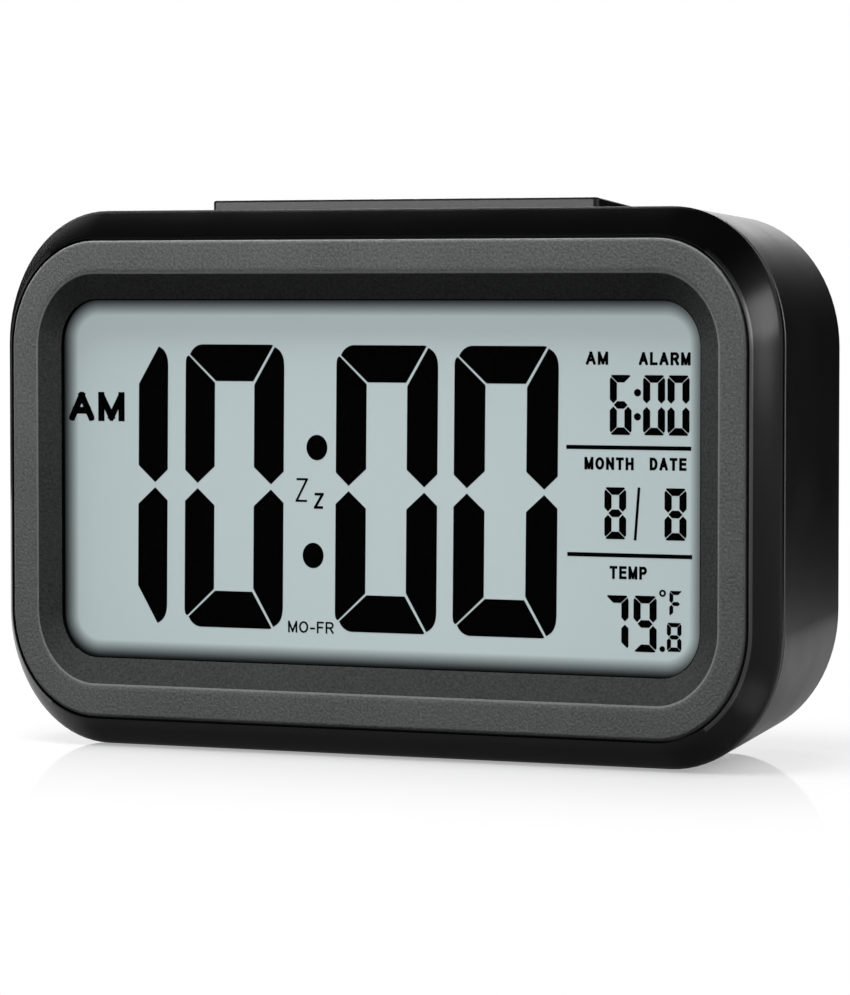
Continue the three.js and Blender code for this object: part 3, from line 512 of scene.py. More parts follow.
WHITE = (1, 1, 1)
GREENISH = (0.98, 1.02, 1.0)
ring_finish = moulded("ring_grain", 0.095, GREENISH, 0.65, 0.0004, 0.00009, 0.03, 0.45)
# A paler copy of the ring's finish for its break and outer edge: a painted highlight.
ring_painted_highlight = moulded("ring_edge_painted_highlight", 0.14, GREENISH, 0.6, 0.0004, 0.00005, 0.05)
# A darker copy of the ring's finish for the recessed bevel: painted shade.
painted_shade_bevel = moulded("ring_bevel_painted_shade", 0.033, (0.98, 1.03, 1.0), 0.65, 0.0004, 0.00007, 0.0, 0.4)
case_finish = moulded("case_semi_gloss", 0.0012, (1, 1, 1.02), 0.22, 0.0003, 0.000006, 0.15)
# A paler, glossier copy of the case finish for the lip and the seam's edge: a painted highlight.
painted_edge_highlight = moulded("case_edge_gloss", 0.004, (1, 1, 1.02), 0.25, 0.0003, 0.000004, 0.6)
shell_finish = moulded("shell_satin", 0.0105, (1, 1, 0.97), 0.34, 0.0004, 0.00001, 0.1)
button_finish = moulded("button_satin", 0.009, WHITE, 0.5, 0.0004, 0.00001, 0.25)
strip_finish = moulded("strip_paint", 0.105, WHITE, 0.5, 0.0004, 0.00001, 0.2)
rubber_finish = moulded("foot_rubber", 0.02, WHITE, 0.85, 0.0006, 0.00003, 0.3)
# Near black for the window's edge and the seam: a painted shadow.
painted_shadow_finish = moulded("painted_shade_black", 0.002, WHITE, 0.9, 0.0003, 0.00001, 0.0)
print("plastics made")

# %% [markdown]
# ## The front housing
# The black front is a frame that flares out from the ring to the seam. Its section is followed once
# round: the lip beside the ring, the gently bulged flare, a short land, and the inside with the
# ledge that the ring and the window lie on. The lip gets a soft edge, and its upright sides get a
# paler, glossier finish, a painted highlight that makes a thin line of light beside the dark gap round the
# ring.

# %% Outlines round the middle of the face
WALL = 2.0
FIT_GAP = 0.3
SEAM_Y = FRONT_Y + 6.8
CASE_W = CASE_HIGH.x
CASE_H = (CASE_HIGH.z - CASE_LOW.z) / 2
CASE = section(0, MIDDLE_Z, CASE_W, CASE_H, 17.2, 20.2, SEAM_Y)
ring_low, ring_high = span("bezel_ring")
RING_H = (ring_high.z - ring_low.z) / 2
RING = section(0, MIDDLE_Z, ring_high.x, RING_H, 14.1, 16.5, FRONT_Y)
RING_SEAT = grown(RING, FIT_GAP)
RING_REAR = FRONT_Y + 2.0
lens_low, lens_high = span("display_lens")
LENS_H = (lens_high.z - lens_low.z) / 2
LENS = section(0, MIDDLE_Z, lens_high.x, LENS_H, 5, 6, lens_low.y)
LENS_SEAT = grown(LENS, FIT_GAP)
LEDGE_Y = lens_high.y
print("seam at y", round(SEAM_Y, 2), "ledge at y", round(LEDGE_Y, 2))

# %% Front housing
FLARE_BULGE = 0.2
LIP_ROUND = 0.8
FLARE_LAND = 1.0
SEAM_CUT = 0.1
INSIDE_Y = FRONT_Y + 4.9
# For each kind of screw: the radius of its post and the depth at which the post ends.
POSTS = {"case_screw": (2.8, FRONT_Y + 10.6), "main_board_screw": (2.1, FRONT_Y + 13.4)}


def front_housing():
    """The frame, closed once round its section, with its screw posts joined on."""
    lip = at(RING_SEAT, FRONT_Y)
    land = at(CASE, SEAM_Y - FLARE_LAND)
    bend = grown(between(lip, land, 0.5), 2 * FLARE_BULGE)
    flare = curve(lip, bend, land, 8)
    inner = grown(CASE, -WALL)
    profile = [
        (at(RING_SEAT, RING_REAR), 0),
        (lip, LIP_ROUND),
        *[(shape, 0) for shape in flare[1:]],
        (at(CASE, SEAM_Y - SEAM_CUT), 0.2),
        (at(inner, SEAM_Y - SEAM_CUT), 0),
        (at(inner, INSIDE_Y), 0),
        (at(grown(inner, -1), LEDGE_Y), 0),
        (at(LENS_SEAT, LEDGE_Y), 0),
        (at(LENS_SEAT, RING_REAR), 0),
    ]
    piece = loft("front_case", soften(profile), closed=True)
    posts = []
    for node, (radius, end) in POSTS.items():
        for number in (1, 2, 3, 4):
            place = middle(f"{node}_{number}")
            ends = ((place.x, LEDGE_Y - 0.5, place.z), (place.x, end, place.z))
            posts.append(rod("post", *ends, radius, 24))
    join(piece, posts)
    return piece


def inside(place, shape):
    """Whether a place lies within the outline of a section."""
    x, z, w, h, rx, rz, _ = shape
    side = max(abs(place.x - x) - w + rx, 0) / rx
    up = max(abs(place.z - z) - h + rz, 0) / rz
    return math.hypot(side, up) < 1


def finish_faces(piece, material, wanted):
    """Gives a second finish to the faces whose corners are all wanted. Places are in millimetres."""
    piece.data.materials.append(material)
    pick(piece, lambda index, place: wanted(place / MM))
    piece.active_material_index = len(piece.data.materials) - 1
    bpy.ops.object.material_slot_assign()
    stop_editing()


housing = finish(front_housing(), case_finish, "case", "case_black", "front_housing")
LIP_SIDE = CASE_W - 11


def on_lip(place):
    """The lip's upright sides, which get a painted highlight."""
    near_front = place.y < FRONT_Y + LIP_ROUND + 0.01
    return near_front and abs(place.x) > LIP_SIDE and inside(place, grown(RING_SEAT, LIP_ROUND + 0.1))


# The lip's upright sides get the painted highlight.
finish_faces(housing, painted_edge_highlight, on_lip)

# %% [markdown]
# ## The grey ring
# The ring has a flat rim, a sharp but softened break, and an inner bevel that slopes down to the
# window. The outer edge is rounded a little too. The bevel is a darker copy of the rim's finish,
# which is painted shade. The break and the outer edge have a paler finish of their own, a painted
# highlight, given to the faces that a test picks, and the bevel ends in a painted shadow line at the
# window.

# %% Ring
RIM_SIDE = 4.1
RIM_TOP = 4.8
BEVEL_SIDE = 3.7
BEVEL_TOP = 4.35
BEVEL_DEPTH = 1.9
BEVEL_LIP = 0.6
BREAK_DEPTH = 0.08
BREAK_LINE = (0.06, 0.16)
EDGE_LINE = (0.01, 0.28)
SHADOW_LINE = 0.24
RIM_INNER = grown(RING, -RIM_SIDE, -RIM_TOP)
WINDOW_W = RIM_INNER[2] - BEVEL_SIDE
WINDOW_H = RIM_INNER[3] - BEVEL_TOP
WINDOW = section(0, MIDDLE_Z, WINDOW_W, WINDOW_H, 5.9, 6.9, FRONT_Y + BEVEL_DEPTH)


def bezel_ring():
    profile = [
        (RING, 0.48),
        (at(RING, RING_REAR), 0),
        (at(LENS_SEAT, RING_REAR), 0),
        (at(WINDOW, FRONT_Y + BEVEL_DEPTH + BEVEL_LIP), 0.12),
        (WINDOW, 0.25),
        (RIM_INNER, 0.6),
    ]
    return loft("ring", soften(profile), closed=True)


def on_bevel(place):
    return place.y > FRONT_Y + BREAK_DEPTH and inside(place, RIM_INNER)


def on_break(place):
    """The narrow line where the flat rim turns into the bevel."""
    deep = place.y - FRONT_Y
    return BREAK_LINE[0] < deep < BREAK_LINE[1] and inside(place, grown(RIM_INNER, 0.5))


def on_edge(place):
    """The rounding round the outside of the rim."""
    deep = place.y - FRONT_Y
    return EDGE_LINE[0] < deep < EDGE_LINE[1] and not inside(place, grown(RING, -0.3))


ring = finish(bezel_ring(), ring_finish, "case", "ring_grey", "bezel_ring")
# The bevel gets the darker finish, which is painted shade.
finish_faces(ring, painted_shade_bevel, on_bevel)
# The faces at the window's edge get a painted shadow line.
finish_faces(ring, painted_shadow_finish, lambda place: inside(place, grown(WINDOW, SHADOW_LINE)))
# The break and the outer edge get the painted highlight.
finish_faces(ring, ring_painted_highlight, on_break)
finish_faces(ring, ring_painted_highlight, on_edge)

# %% [markdown]
# ## The window
# The window is a clear plate behind the ring. It should be seen only by a faint gloss at a shallow
# angle, so it is mostly transparent and its share of gloss grows toward grazing angles.

# %% Window
def window_material():
    """Clear acrylic: its alpha, and with it the gloss, grows where it is seen from the side."""
    recipe = Recipe("window_acrylic")
    layer = recipe.node("ShaderNodeLayerWeight", Blend=0.25)
    grazing = Signal(recipe, layer.outputs["Facing"])
    smudge = recipe.noise(60.0, detail=2.0)
    return recipe.set(
        Base_Color=(0.02, 0.022, 0.022, 1),
        Roughness=0.04 + smudge * 0.05,
        Alpha=grazing * grazing * grazing * 0.3 + 0.01,
        Specular_IOR_Level=0.3,
    )


def plate(name, shape, front, rear, edge):
    """A flat plate from front to rear with softened rims."""
    shapes = [at(shape, front), at(shape, rear)]
    loops = [
        grown(shapes[0], -edge),
        *curve(grown(shapes[0], -edge), shapes[0], at(shape, front + edge), 3)[1:],
        *curve(at(shape, rear - edge), shapes[1], grown(shapes[1], -edge), 3),
    ]
    return loft(name, loops)


window = plate("window", LENS, lens_low.y, lens_high.y, 0.15)
finish(window, window_material(), "case", "window_clear", "display_lens")

# %% [markdown]
# ## The display
# The display is a pale grey-green plate with black segments in it. Half of its light is thrown back
# by its rear film and half is a painted glow. A painted reflection makes the plate lightest near its
# middle, and painted shade fades it to black along its frame, where neither light reaches.

# %% Display plate
lcd_low, lcd_high = span("lcd_panel")
LCD_H = (lcd_high.z - lcd_low.z) / 2
LCD_SHAPE = section(0, MIDDLE_Z, lcd_high.x, LCD_H, 1, 1, lcd_low.y)
VIEW_LEFT = -54.65
VIEW_RIGHT = 52.3
VIEW_H = 28.0
VIEW_CORNER = 6.5
VIEW_FADE = 2.7
FADE_POWER = 1.5
BRIGHTEST_X = 0.004
BRIGHT_REACH = 0.055
FILM_DIM = (0.11, 0.135, 0.14, 1)
FILM_PAINTED_SHEEN = (0.175, 0.2, 0.205, 1)
FILM_PAINTED_GLOW = (0.34, 0.396, 0.402, 1)
PAINTED_SHADE_BLACK = (0.008, 0.009, 0.009, 1)


def painted_frame_shade(recipe, x, z):
    """Painted shade: from 0 at the edge of the visible area to 1 a few millimetres inside it."""
    half_w = (VIEW_RIGHT - VIEW_LEFT) / 2 - VIEW_CORNER
    side = abs(x / MM - (VIEW_LEFT + VIEW_RIGHT) / 2) - half_w
    up = abs(z / MM - MIDDLE_Z) - (VIEW_H - VIEW_CORNER)
    side_out = recipe.maths("MAXIMUM", side, 0.0)
    up_out = recipe.maths("MAXIMUM", up, 0.0)
    round_out = recipe.maths("SQRT", side_out * side_out + up_out * up_out)
    flat_out = recipe.maths("MINIMUM", recipe.maths("MAXIMUM", side, up), 0.0)
    depth = (VIEW_CORNER - round_out - flat_out) / VIEW_FADE
    return recipe.maths("POWER", recipe.maths("ADD", depth, 0.0, clamp=True), FADE_POWER)


def lcd_material():
    """A pale film with a painted glow, a painted reflection that makes it brightest near its middle, and
    painted shade that fades it to black at its frame.
    """
    recipe = Recipe("lcd_film")
    x, _, z = recipe.axes()
    # A painted reflection: the film is brightest near its middle.
    off_middle = (x - BRIGHTEST_X) / BRIGHT_REACH
    across = 1 - off_middle * off_middle
    grain = recipe.noise(2600.0, detail=2.0)
    drift = recipe.noise(30.0)
    share = across * 0.8 + (drift - 0.5) * 0.3
    film = recipe.mix(share.above(0.5, 1.0), FILM_DIM, FILM_PAINTED_SHEEN)
    # Painted shade darkens the film toward its frame.
    lit = painted_frame_shade(recipe, x, z)
    recipe.bump(grain, 0.000004)
    # The emission is a painted glow that stands in for light on the film.
    return recipe.set(
        Emission_Strength=1.0,
        Base_Color=recipe.mix(lit, PAINTED_SHADE_BLACK, film),
        Emission_Color=recipe.mix(lit, (0, 0, 0, 1), FILM_PAINTED_GLOW),
        Roughness=0.5 + grain * 0.08,
        Specular_IOR_Level=0.05,
    )


lcd = plate("lcd_plate", LCD_SHAPE, lcd_low.y, lcd_high.y, 0.2)
finish(lcd, lcd_material(), "case", "lcd_glass", "lcd_panel")

# %% [markdown]
# ## Digits and words
# Every segment is a thin plate on the front of the display. It starts as a circle with one vertex
# for each corner of the segment; the vertices are moved to their corners and the face is pulled
# forward. The big digits are 44 mm high and have wide strokes whose ends meet in thin pale gaps.

# %% Flat segments
INK_Y = lcd_low.y
INK_THICK = 0.05


def ink(name, outlines):
    """One piece from flat outlines of (x, z) points, each pulled forward off the display."""
    piece = empty_piece(name)
    for outline in outlines:
        edit(piece)
        start = len(piece.data.vertices)
        bpy.ops.mesh.primitive_circle_add(
            vertices=len(outline),
            radius=1,
            fill_type="NGON",
            location=(0, INK_Y, 0),
            rotation=FACING_FRONT,
        )
        stop_editing()
        for (x, z), vert in zip(outline, piece.data.vertices[start:]):
            vert.co = (x, INK_Y, z)
        bpy.ops.object.mode_set(mode="EDIT")
        bpy.ops.mesh.extrude_region_move(TRANSFORM_OT_translate={"value": (0, -INK_THICK, 0)})
        stop_editing()
    edit(piece)
    face_outwards()
    return piece


# %% Big digits
DIGIT_TOP = 62.35
DIGIT_BOTTOM = 18.7
DIGIT_W = 16.85
STROKE = 5.05
STROKE_TOP = 5.65
DIGIT_MIDDLE = 40.55
GAP = 0.16
TIP_GAP = 0.4
DIGIT_LEAN = 0.0085
TIP_REACH = 2.15
OUTER_SHOULDER = 2.4
INNER_SHOULDER = 3.0
ZERO_X = (-33.15, -7.5, 12.05)
ONE_X = -53.05


def vertical(side, up, left):
    """A vertical segment: side -1 is the digit's left one, up 1 the upper one."""
    far = DIGIT_TOP if up > 0 else DIGIT_BOTTOM

    def spot(from_outer, from_far):
        x = left + from_outer if side < 0 else left + DIGIT_W - from_outer
        return (x, far - up * from_far)

    half = abs(far - DIGIT_MIDDLE)
    tip = spot(TIP_REACH, half - TIP_GAP)
    outer_shoulder = spot(0, half - OUTER_SHOULDER)
    inner_shoulder = spot(STROKE, half - INNER_SHOULDER)
    inner_end = spot(STROKE, STROKE_TOP + GAP + (0.1 if side < 0 else 0.35))
    if side < 0:
        ends = [spot(0.55, 1.75), *curve(spot(0.4, 1.75), spot(0, 1.9), spot(0, 3.0))]
    else:
        ends = [spot(1.62, 0.35), *curve(spot(1.2, 0.6), spot(0, 1.3), spot(0, 3.4), 6)]
    return [inner_end, *ends, outer_shoulder, tip, inner_shoulder]


def horizontal(up, left):
    """The top (up 1) or bottom segment, between the two diagonal gaps."""
    far = DIGIT_TOP if up > 0 else DIGIT_BOTTOM

    def spot(from_left, from_far):
        return (left + from_left, far - up * from_far)

    right = DIGIT_W - 1.95
    return [
        *curve(spot(0.72, 1.55), spot(1.3, 0.2), spot(2.7, 0)),
        *curve(spot(right - 0.5, 0), spot(right, 0), spot(right + 0.02, 0.15), 2),
        spot(DIGIT_W - STROKE - 0.2, STROKE_TOP),
        spot(STROKE + 0.2, STROKE_TOP),
    ]


def leaned(outline):
    """The digits lean a little: each point moves with its distance from the top."""
    return [(x + DIGIT_LEAN * (z - DIGIT_TOP), z) for x, z in outline]


def big_digits():
    """The 1, which has only its two right segments, and the three zeros."""
    outlines = []
    for up in (1, -1):
        outlines.append(vertical(1, up, ONE_X))
        for left in ZERO_X:
            outlines.append(vertical(-1, up, left))
            outlines.append(vertical(1, up, left))
            outlines.append(horizontal(up, left))
    return [leaned(outline) for outline in outlines]


def disc(x, z, w, h, steps=32):
    """The outline of an ellipse with half axes w and h."""
    angles = [2 * math.pi * step / steps for step in range(steps)]
    return [(x + w * math.cos(angle), z + h * math.sin(angle)) for angle in angles]


COLON = ((-10.84, 46.7), (-11.5, 30.2))
ink_finish = moulded("display_ink", 0.0006, (1, 1, 1.05), 0.5, 0.0003, 0.000002, 0.0)
dots = [disc(x, z, 1.76, 1.95) for x, z in COLON]
finish(ink("lcd_big_digits", big_digits() + dots), ink_finish, "case", "lcd_glass")

# %% [markdown]
# ## Small digits
# The right column shows the alarm time, the date and the temperature in small seven-segment digits.
# One function draws any digit from its segments, so each place only needs its box and its stroke.

# %% Small digits
SEGMENTS = {
    "0": "abcdef", "6": "afgcde", "7": "abc", "8": "abcdefg", "9": "abcdfg", "F": "aefg",
}


def small_digit(text, x0, z0, x1, z1, stroke, gap=0.07):
    """The outlines of one seven-segment digit in the box from (x0, z0) to (x1, z1)."""
    mid = (z0 + z1) / 2
    half = stroke / 2
    slim = stroke * 0.5
    parts = {}
    for name, z, sign in (("a", z1, -1), ("d", z0, 1)):
        inner = z + sign * stroke
        near = z + sign * slim * 0.3
        parts[name] = [
            (x0 + gap + slim * 0.5, z), (x1 - gap - slim * 0.5, z), (x1 - gap - slim * 0.2, near),
            (x1 - stroke - gap, inner), (x0 + stroke + gap, inner), (x0 + gap + slim * 0.2, near),
        ]
    for name, side, x, z in (("f", 1, x0, z1), ("b", -1, x1, z1), ("e", 1, x0, z0), ("c", -1, x1, z0)):
        down = -1 if z == z1 else 1
        end = mid - down * (half * 0.3 + gap)
        parts[name] = [
            (x, z + down * (slim + gap)), (x + side * slim * 0.35, z + down * (slim * 0.5 + gap)),
            (x + side * stroke, z + down * (stroke + gap)), (x + side * stroke, end - down * half),
            (x + side * half, end), (x, end - down * half),
        ]
    parts["g"] = [
        (x0 + half + gap, mid), (x0 + stroke + gap, mid + half), (x1 - stroke - gap, mid + half),
        (x1 - half - gap, mid), (x1 - stroke - gap, mid - half), (x0 + stroke + gap, mid - half),
    ]
    return [parts[name] for name in SEGMENTS[text]]


def line(x0, z0, x1, z1, width):
    """A straight stroke from one point to another."""
    run = math.hypot(x1 - x0, z1 - z0)
    dx, dz = (x1 - x0) / run * width / 2, (z1 - z0) / run * width / 2
    return [(x0 - dz, z0 + dx), (x0 + dz, z0 - dx), (x1 + dz, z1 - dx), (x1 - dz, z1 + dx)]


SMALL_W = 3.45
SMALL_STROKE = 1.12
# Lowest and highest z of a row, and its digits with their left edges.
ROWS = (
    (49.28, 58.16, (("6", 37.02), ("0", 42.28), ("0", 46.12))),
    (33.82, 41.52, (("8", 36.2), ("8", 45.7))),
)
# The temperature: each digit, its box, its stroke and the gap between its segments.
TEMPERATURE = (
    ("7", 36.45, 17.35, 40.05, 25.5, SMALL_STROKE, 0.07),
    ("9", 40.85, 17.2, 44.5, 25.55, SMALL_STROKE, 0.07),
    ("8", 46.12, 17.4, 48.4, 21.68, 0.64, 0.04),
    ("F", 46.5, 22.55, 48.5, 26.4, 0.6, 0.04),
)
# The alarm's colon and the decimal point, with their radii.
DOTS = ((41.4, 55.55, 0.56), (41.4, 52.0, 0.56), (45.4, 17.75, 0.44))
# The slash of the date and the two rules between the rows, with their widths.
LINES = (
    (41.67, 41.55, 41.07, 33.72, 0.42),
    (30.1, 47.4, 49.85, 47.4, 0.62),
    (30.3, 31.45, 50.05, 31.45, 0.62),
)
DEGREE = (45.42, 26.0)
DEGREE_RADII = (0.54, 0.24)
DOT_STEPS = 20


def small_digits():
    outlines = []
    for low, high, digits in ROWS:
        for text, x in digits:
            outlines += small_digit(text, x, low, x + SMALL_W, high, SMALL_STROKE)
    for entry in TEMPERATURE:
        outlines += small_digit(*entry)
    outlines += [disc(x, z, radius, radius, DOT_STEPS) for x, z, radius in DOTS]
    outlines += [line(*entry) for entry in LINES]
    ring, hole = (disc(*DEGREE, radius, radius, DOT_STEPS) for radius in DEGREE_RADII)
    outlines += [[ring[i], ring[i - 1], hole[i - 1], hole[i]] for i in range(DOT_STEPS)]
    return outlines


finish(ink("lcd_small_digits", small_digits()), ink_finish, "case", "lcd_glass")

# %% [markdown]
# ## Words on the display
# The words say only what each number is. A letter is drawn with pen strokes: each stroke is a path
# of a few points that is widened to both sides, and a round stretch is an arc. The strokes of a
# word share one pen width, as the printed ones do, and are fitted to the word's box.

# %% Pen strokes
def bow(x, z, w, h, first, last, steps=8):
    """Points on an ellipse arc round (x, z), with angles in quarter turns."""
    angles = [(first + (last - first) * step / steps) * math.pi / 2 for step in range(steps + 1)]
    return [(x + w * math.cos(angle), z + h * math.sin(angle)) for angle in angles]


LETTERS = {
    "A": (0.95, [[(0, 0), (0.5, 1), (1, 0)], [(0.18, 0.32), (0.82, 0.32)]]),
    "D": (0.85, [[(0, 0), (0, 1), *bow(0.45, 0.5, 0.55, 0.5, 1, -1), (0, 0)]]),
    "E": (0.75, [[(1, 1), (0, 1), (0, 0), (1, 0)], [(0, 0.53), (0.92, 0.53)]]),
    "F": (0.7, [[(1, 1), (0, 1), (0, 0)], [(0, 0.5), (0.85, 0.5)]]),
    "H": (0.85, [[(0, 0), (0, 1)], [(1, 0), (1, 1)], [(0, 0.52), (1, 0.52)]]),
    "L": (0.7, [[(0, 1), (0, 0), (1, 0)]]),
    "M": (1.0, [[(0, 0), (0, 1), (0.5, 0.05), (1, 1), (1, 0)]]),
    "N": (0.85, [[(0, 0), (0, 1), (1, 0), (1, 1)]]),
    "O": (1.0, [bow(0.5, 0.5, 0.5, 0.5, 1, 3), bow(0.5, 0.5, 0.5, 0.5, 3, 5)]),
    "P": (0.8, [[(0, 0), (0, 1), *bow(0.6, 0.74, 0.4, 0.26, 1, -1), (0, 0.48)]]),
    "R": (0.85, [[(0, 0), (0, 1), *bow(0.6, 0.74, 0.4, 0.26, 1, -1), (0, 0.48)], [(0.55, 0.48), (1, 0)]]),
    "T": (0.8, [[(0, 1), (1, 1)], [(0.5, 1), (0.5, 0)]]),
    "Z": (0.8, [[(0.1, 1), (1, 1), (0, 0), (0.9, 0)]]),
    "-": (0.45, [[(0, 0.38), (1, 0.38)]]),
}


def cut_off(points, axis, limit, side):
    """The part of a convex outline on one side of a limit along one axis."""
    kept = []
    for index, point in enumerate(points):
        before = points[index - 1]
        ahead, behind = (side * (spot[axis] - limit) for spot in (point, before))
        if ahead * behind < 0:
            share = behind / (behind - ahead)
            kept.append(tuple(a + (b - a) * share for a, b in zip(before, point)))
        if ahead >= 0:
            kept.append(point)
    return kept


def stroke(start, end, pen, low, high):
    """A straight pen stroke that runs on past its ends and is cut at the letter's box."""
    run = math.dist(start, end)
    along = ((end[0] - start[0]) / run, (end[1] - start[1]) / run)
    across = (-along[1] * pen / 2, along[0] * pen / 2)
    on = pen / 2 if run > pen else pen / 8
    points = []
    for spot, way in ((start, -1), (end, 1)):
        x, z = spot[0] + way * along[0] * on, spot[1] + way * along[1] * on
        points += [(x - way * across[0], z - way * across[1]), (x + way * across[0], z + way * across[1])]
    for axis in (0, 1):
        points = cut_off(points, axis, low[axis], 1)
        points = cut_off(points, axis, high[axis], -1)
    return points


# %% Words
WORDS = (
    ("AM", -53.6, 50.3, -43.85, 54.85, 1.08),
    ("AM", 33.2, 59.62, 36.75, 61.6, 0.44),
    ("ALARM", 41.6, 59.62, 49.72, 61.55, 0.44),
    ("MONTH", 33.0, 44.08, 40.82, 45.95, 0.43),
    ("DATE", 43.35, 44.12, 49.12, 46.0, 0.43),
    ("TEMP", 37.05, 27.92, 42.95, 29.85, 0.42),
    ("MO-FR", -15.75, 18.3, -8.05, 20.1, 0.28),
    ("Z", -14.45, 38.35, -12.35, 42.0, 0.34),
    ("Z", -11.35, 37.35, -9.7, 39.8, 0.42),
)
LETTER_GAP = 0.2


def word(text, x0, z0, x1, z1, pen):
    """The strokes of a word inside its box. The pen's middle runs half its width inside the box."""
    tall = z1 - z0 - pen
    widths = [LETTERS[letter][0] for letter in text]
    spaces = (len(text) - 1) * (pen + LETTER_GAP * tall)
    scale = (x1 - x0 - pen - spaces) / sum(widths)
    outlines = []
    x = x0 + pen / 2
    for letter, width in zip(text, widths):
        low, high = (x - pen / 2, z0), (x + width * scale + pen / 2, z1)
        for path in LETTERS[letter][1]:
            spots = [(x + u * width * scale, z0 + pen / 2 + v * tall) for u, v in path]
            outlines += [stroke(first, last, pen, low, high) for first, last in zip(spots, spots[1:])]
        x += width * scale + pen + LETTER_GAP * tall
    return outlines


words = ink("lcd_words", [outline for entry in WORDS for outline in word(*entry)])
finish(words, ink_finish, "case", "lcd_glass")

# %% [markdown]
# ## The rear shell
# The rear shell is one deep cup. It is lofted from its tongue, which slips inside the front, out to
# the seam, along the tapered outside to the softened rear edge, and closed by its rear face; the
# inside follows with the wall's thickness. The battery bay and the screw wells are joined to it, and
# every opening is cut with a tool that flares a little at the surface, so each mouth gets a bevel.

# %% Rear shell outlines
SEAM_GAP = 0.4
REAR_ROUND = 1.5
BODY_REAR = span("battery_door")[1].y + 0.1
SHELL_FRONT = SEAM_Y + SEAM_GAP + 0.2
REAR_FACE = section(0, MIDDLE_Z + 0.2, CASE_W - 3.5, CASE_H - 1.2, 17.4, 20.2, BODY_REAR)
TONGUE_FRONT = SEAM_Y - 1.6
TONGUE_REAR = SHELL_FRONT + 3.2
MOUTH = 0.25
OVERLAP = 0.3
print("rear face at y", round(BODY_REAR, 2), "shell's front edge at y", round(SHELL_FRONT, 2))


def shell_body():
    """The cup without its openings: inside, tongue, seam edge, side and rear face."""
    front = at(grown(CASE, -0.1), SHELL_FRONT)
    side = at(REAR_FACE, BODY_REAR - REAR_ROUND)
    tongue = grown(CASE, -WALL - 0.2)
    tongue_inner = grown(tongue, -1)
    inner_rear = at(grown(REAR_FACE, -WALL), BODY_REAR - WALL)
    profile = [
        (inner_rear, 0),
        (at(grown(CASE, -WALL - 0.5), TONGUE_REAR + 1), 0),
        (at(tongue_inner, TONGUE_REAR), 0),
        (at(tongue_inner, TONGUE_FRONT), 0),
        (at(tongue, TONGUE_FRONT), 0),
        (at(tongue, SHELL_FRONT + 0.3), 0),
        (front, 0.45),
        (side, 0),
    ]
    sections = soften(profile)
    rim = at(grown(REAR_FACE, -1.6 * REAR_ROUND), BODY_REAR)
    bend = at(grown(REAR_FACE, -0.1), BODY_REAR)
    sections += curve(side, bend, rim, 7)[1:]
    return loft("rear_shell", sections)


def tool(x, z, w, h, r, front, rear=BODY_REAR, mouth=MOUTH):
    """A cutter with rounded corners that flares at the rear face."""
    shape = section(x, z, w, h, r, r, front)
    wide = grown(shape, mouth)
    shapes = [shape, at(shape, rear - mouth), at(wide, rear), at(grown(wide, 1.0), rear + 1.0)]
    return loft("tool", shapes, steps=8)


# %% Battery bay
door_low, door_high = span("battery_door")
cell_low = span("battery_1")[0]
BAY_W = 25.0
BAY_WALL = 2.5
BAY_FRONT = cell_low.y - 0.65
BAY_BOTTOM = cell_low.z - 0.75
BAY_TOP = span("battery_3")[1].z + 0.75
BAY_FLOOR = 1.4
BAY_FOOT = 4.9
DOOR_SWING = 1.2
DOOR_W = door_high.x - 1.0


def add_bay(shell):
    outer_w = BAY_W + BAY_WALL
    bay = block(
        "bay",
        (-outer_w, BAY_FRONT - BAY_FLOOR, BAY_BOTTOM - BAY_FOOT),
        (outer_w, BODY_REAR - WALL + OVERLAP, BAY_TOP + BAY_WALL),
    )
    cut(shell, [bay], "UNION")
    room = block("room", (-BAY_W, BAY_FRONT, BAY_BOTTOM), (BAY_W, BODY_REAR + 1, BAY_TOP))
    apply(room, "BEVEL", width=0.5, segments=3)
    doorway_low, doorway_high = door_low.z - DOOR_SWING, door_high.z + FIT_GAP
    centre_z = (doorway_low + doorway_high) / 2
    half_h = (doorway_high - doorway_low) / 2
    doorway = tool(0, centre_z, DOOR_W + FIT_GAP, half_h, 0.9, door_low.y - 0.5)
    pins = block(
        "pins",
        (-door_high.x - FIT_GAP, door_low.y - 0.85, door_low.z - 0.35),
        (door_high.x + FIT_GAP, door_low.y + 1.35, door_low.z + 1.35),
    )
    cut(shell, [room, doorway, pins])


# %% Wells, holes and the bar's opening
WELL_RADIUS = 2.7
WELL_FLOOR = BODY_REAR - 5.4
BOSS_RADIUS = 4.0
BUTTONS = [middle(f"rear_button_{number}") for number in (1, 2, 3, 4)]
BUTTON_Z = BUTTONS[0].z
KEY_W = 4.5
KEY_H = 2.5
SLIDER_X = 44.0
# Half width, half height and corner radius of each kind of small opening.
SLIDE_SLOT = (3.6, 1.5, 0.4)
SOUND_HOLE = (0.8, 0.8, 0.79)
VENT_SLOT = (6, 0.6, 0.55)
SOUND = middle("buzzer")
SOUND_CIRCLE = 4.4
VENT_X = -43.0
VENT_Z = 30
VENT_PITCH = 3.6
bar_low, bar_high = span("snooze_bar")
BAR_W = 32.2
BAR_FRONT_Y = bar_low.y
BAR_REAR_Y = bar_high.y
BAR_MIDDLE_Y = (BAR_FRONT_Y + BAR_REAR_Y) / 2
BAR_BOTTOM = CASE_HIGH.z - 2.6
BAR_CORNER = 0.9
BAR_PIN_Y = 10
BAR_PIN_Z = 80.9
RIB_FOOT = 77.4
print("bar", round(bar_high.x - bar_low.x, 2), "wide, keys at z", round(BUTTON_Z, 2))


def add_wells(shell):
    places = [middle(f"case_screw_{number}") for number in (1, 2, 3, 4)]
    size = (WELL_RADIUS, WELL_RADIUS, WELL_RADIUS - 0.01)
    for place in places:
        front = (place.x, WELL_FLOOR - 2, place.z)
        rear = (place.x, BODY_REAR - WALL + OVERLAP, place.z)
        cut(shell, [rod("boss", front, rear, BOSS_RADIUS, 40)], "UNION")
    cut(shell, [tool(place.x, place.z, *size, WELL_FLOOR) for place in places])


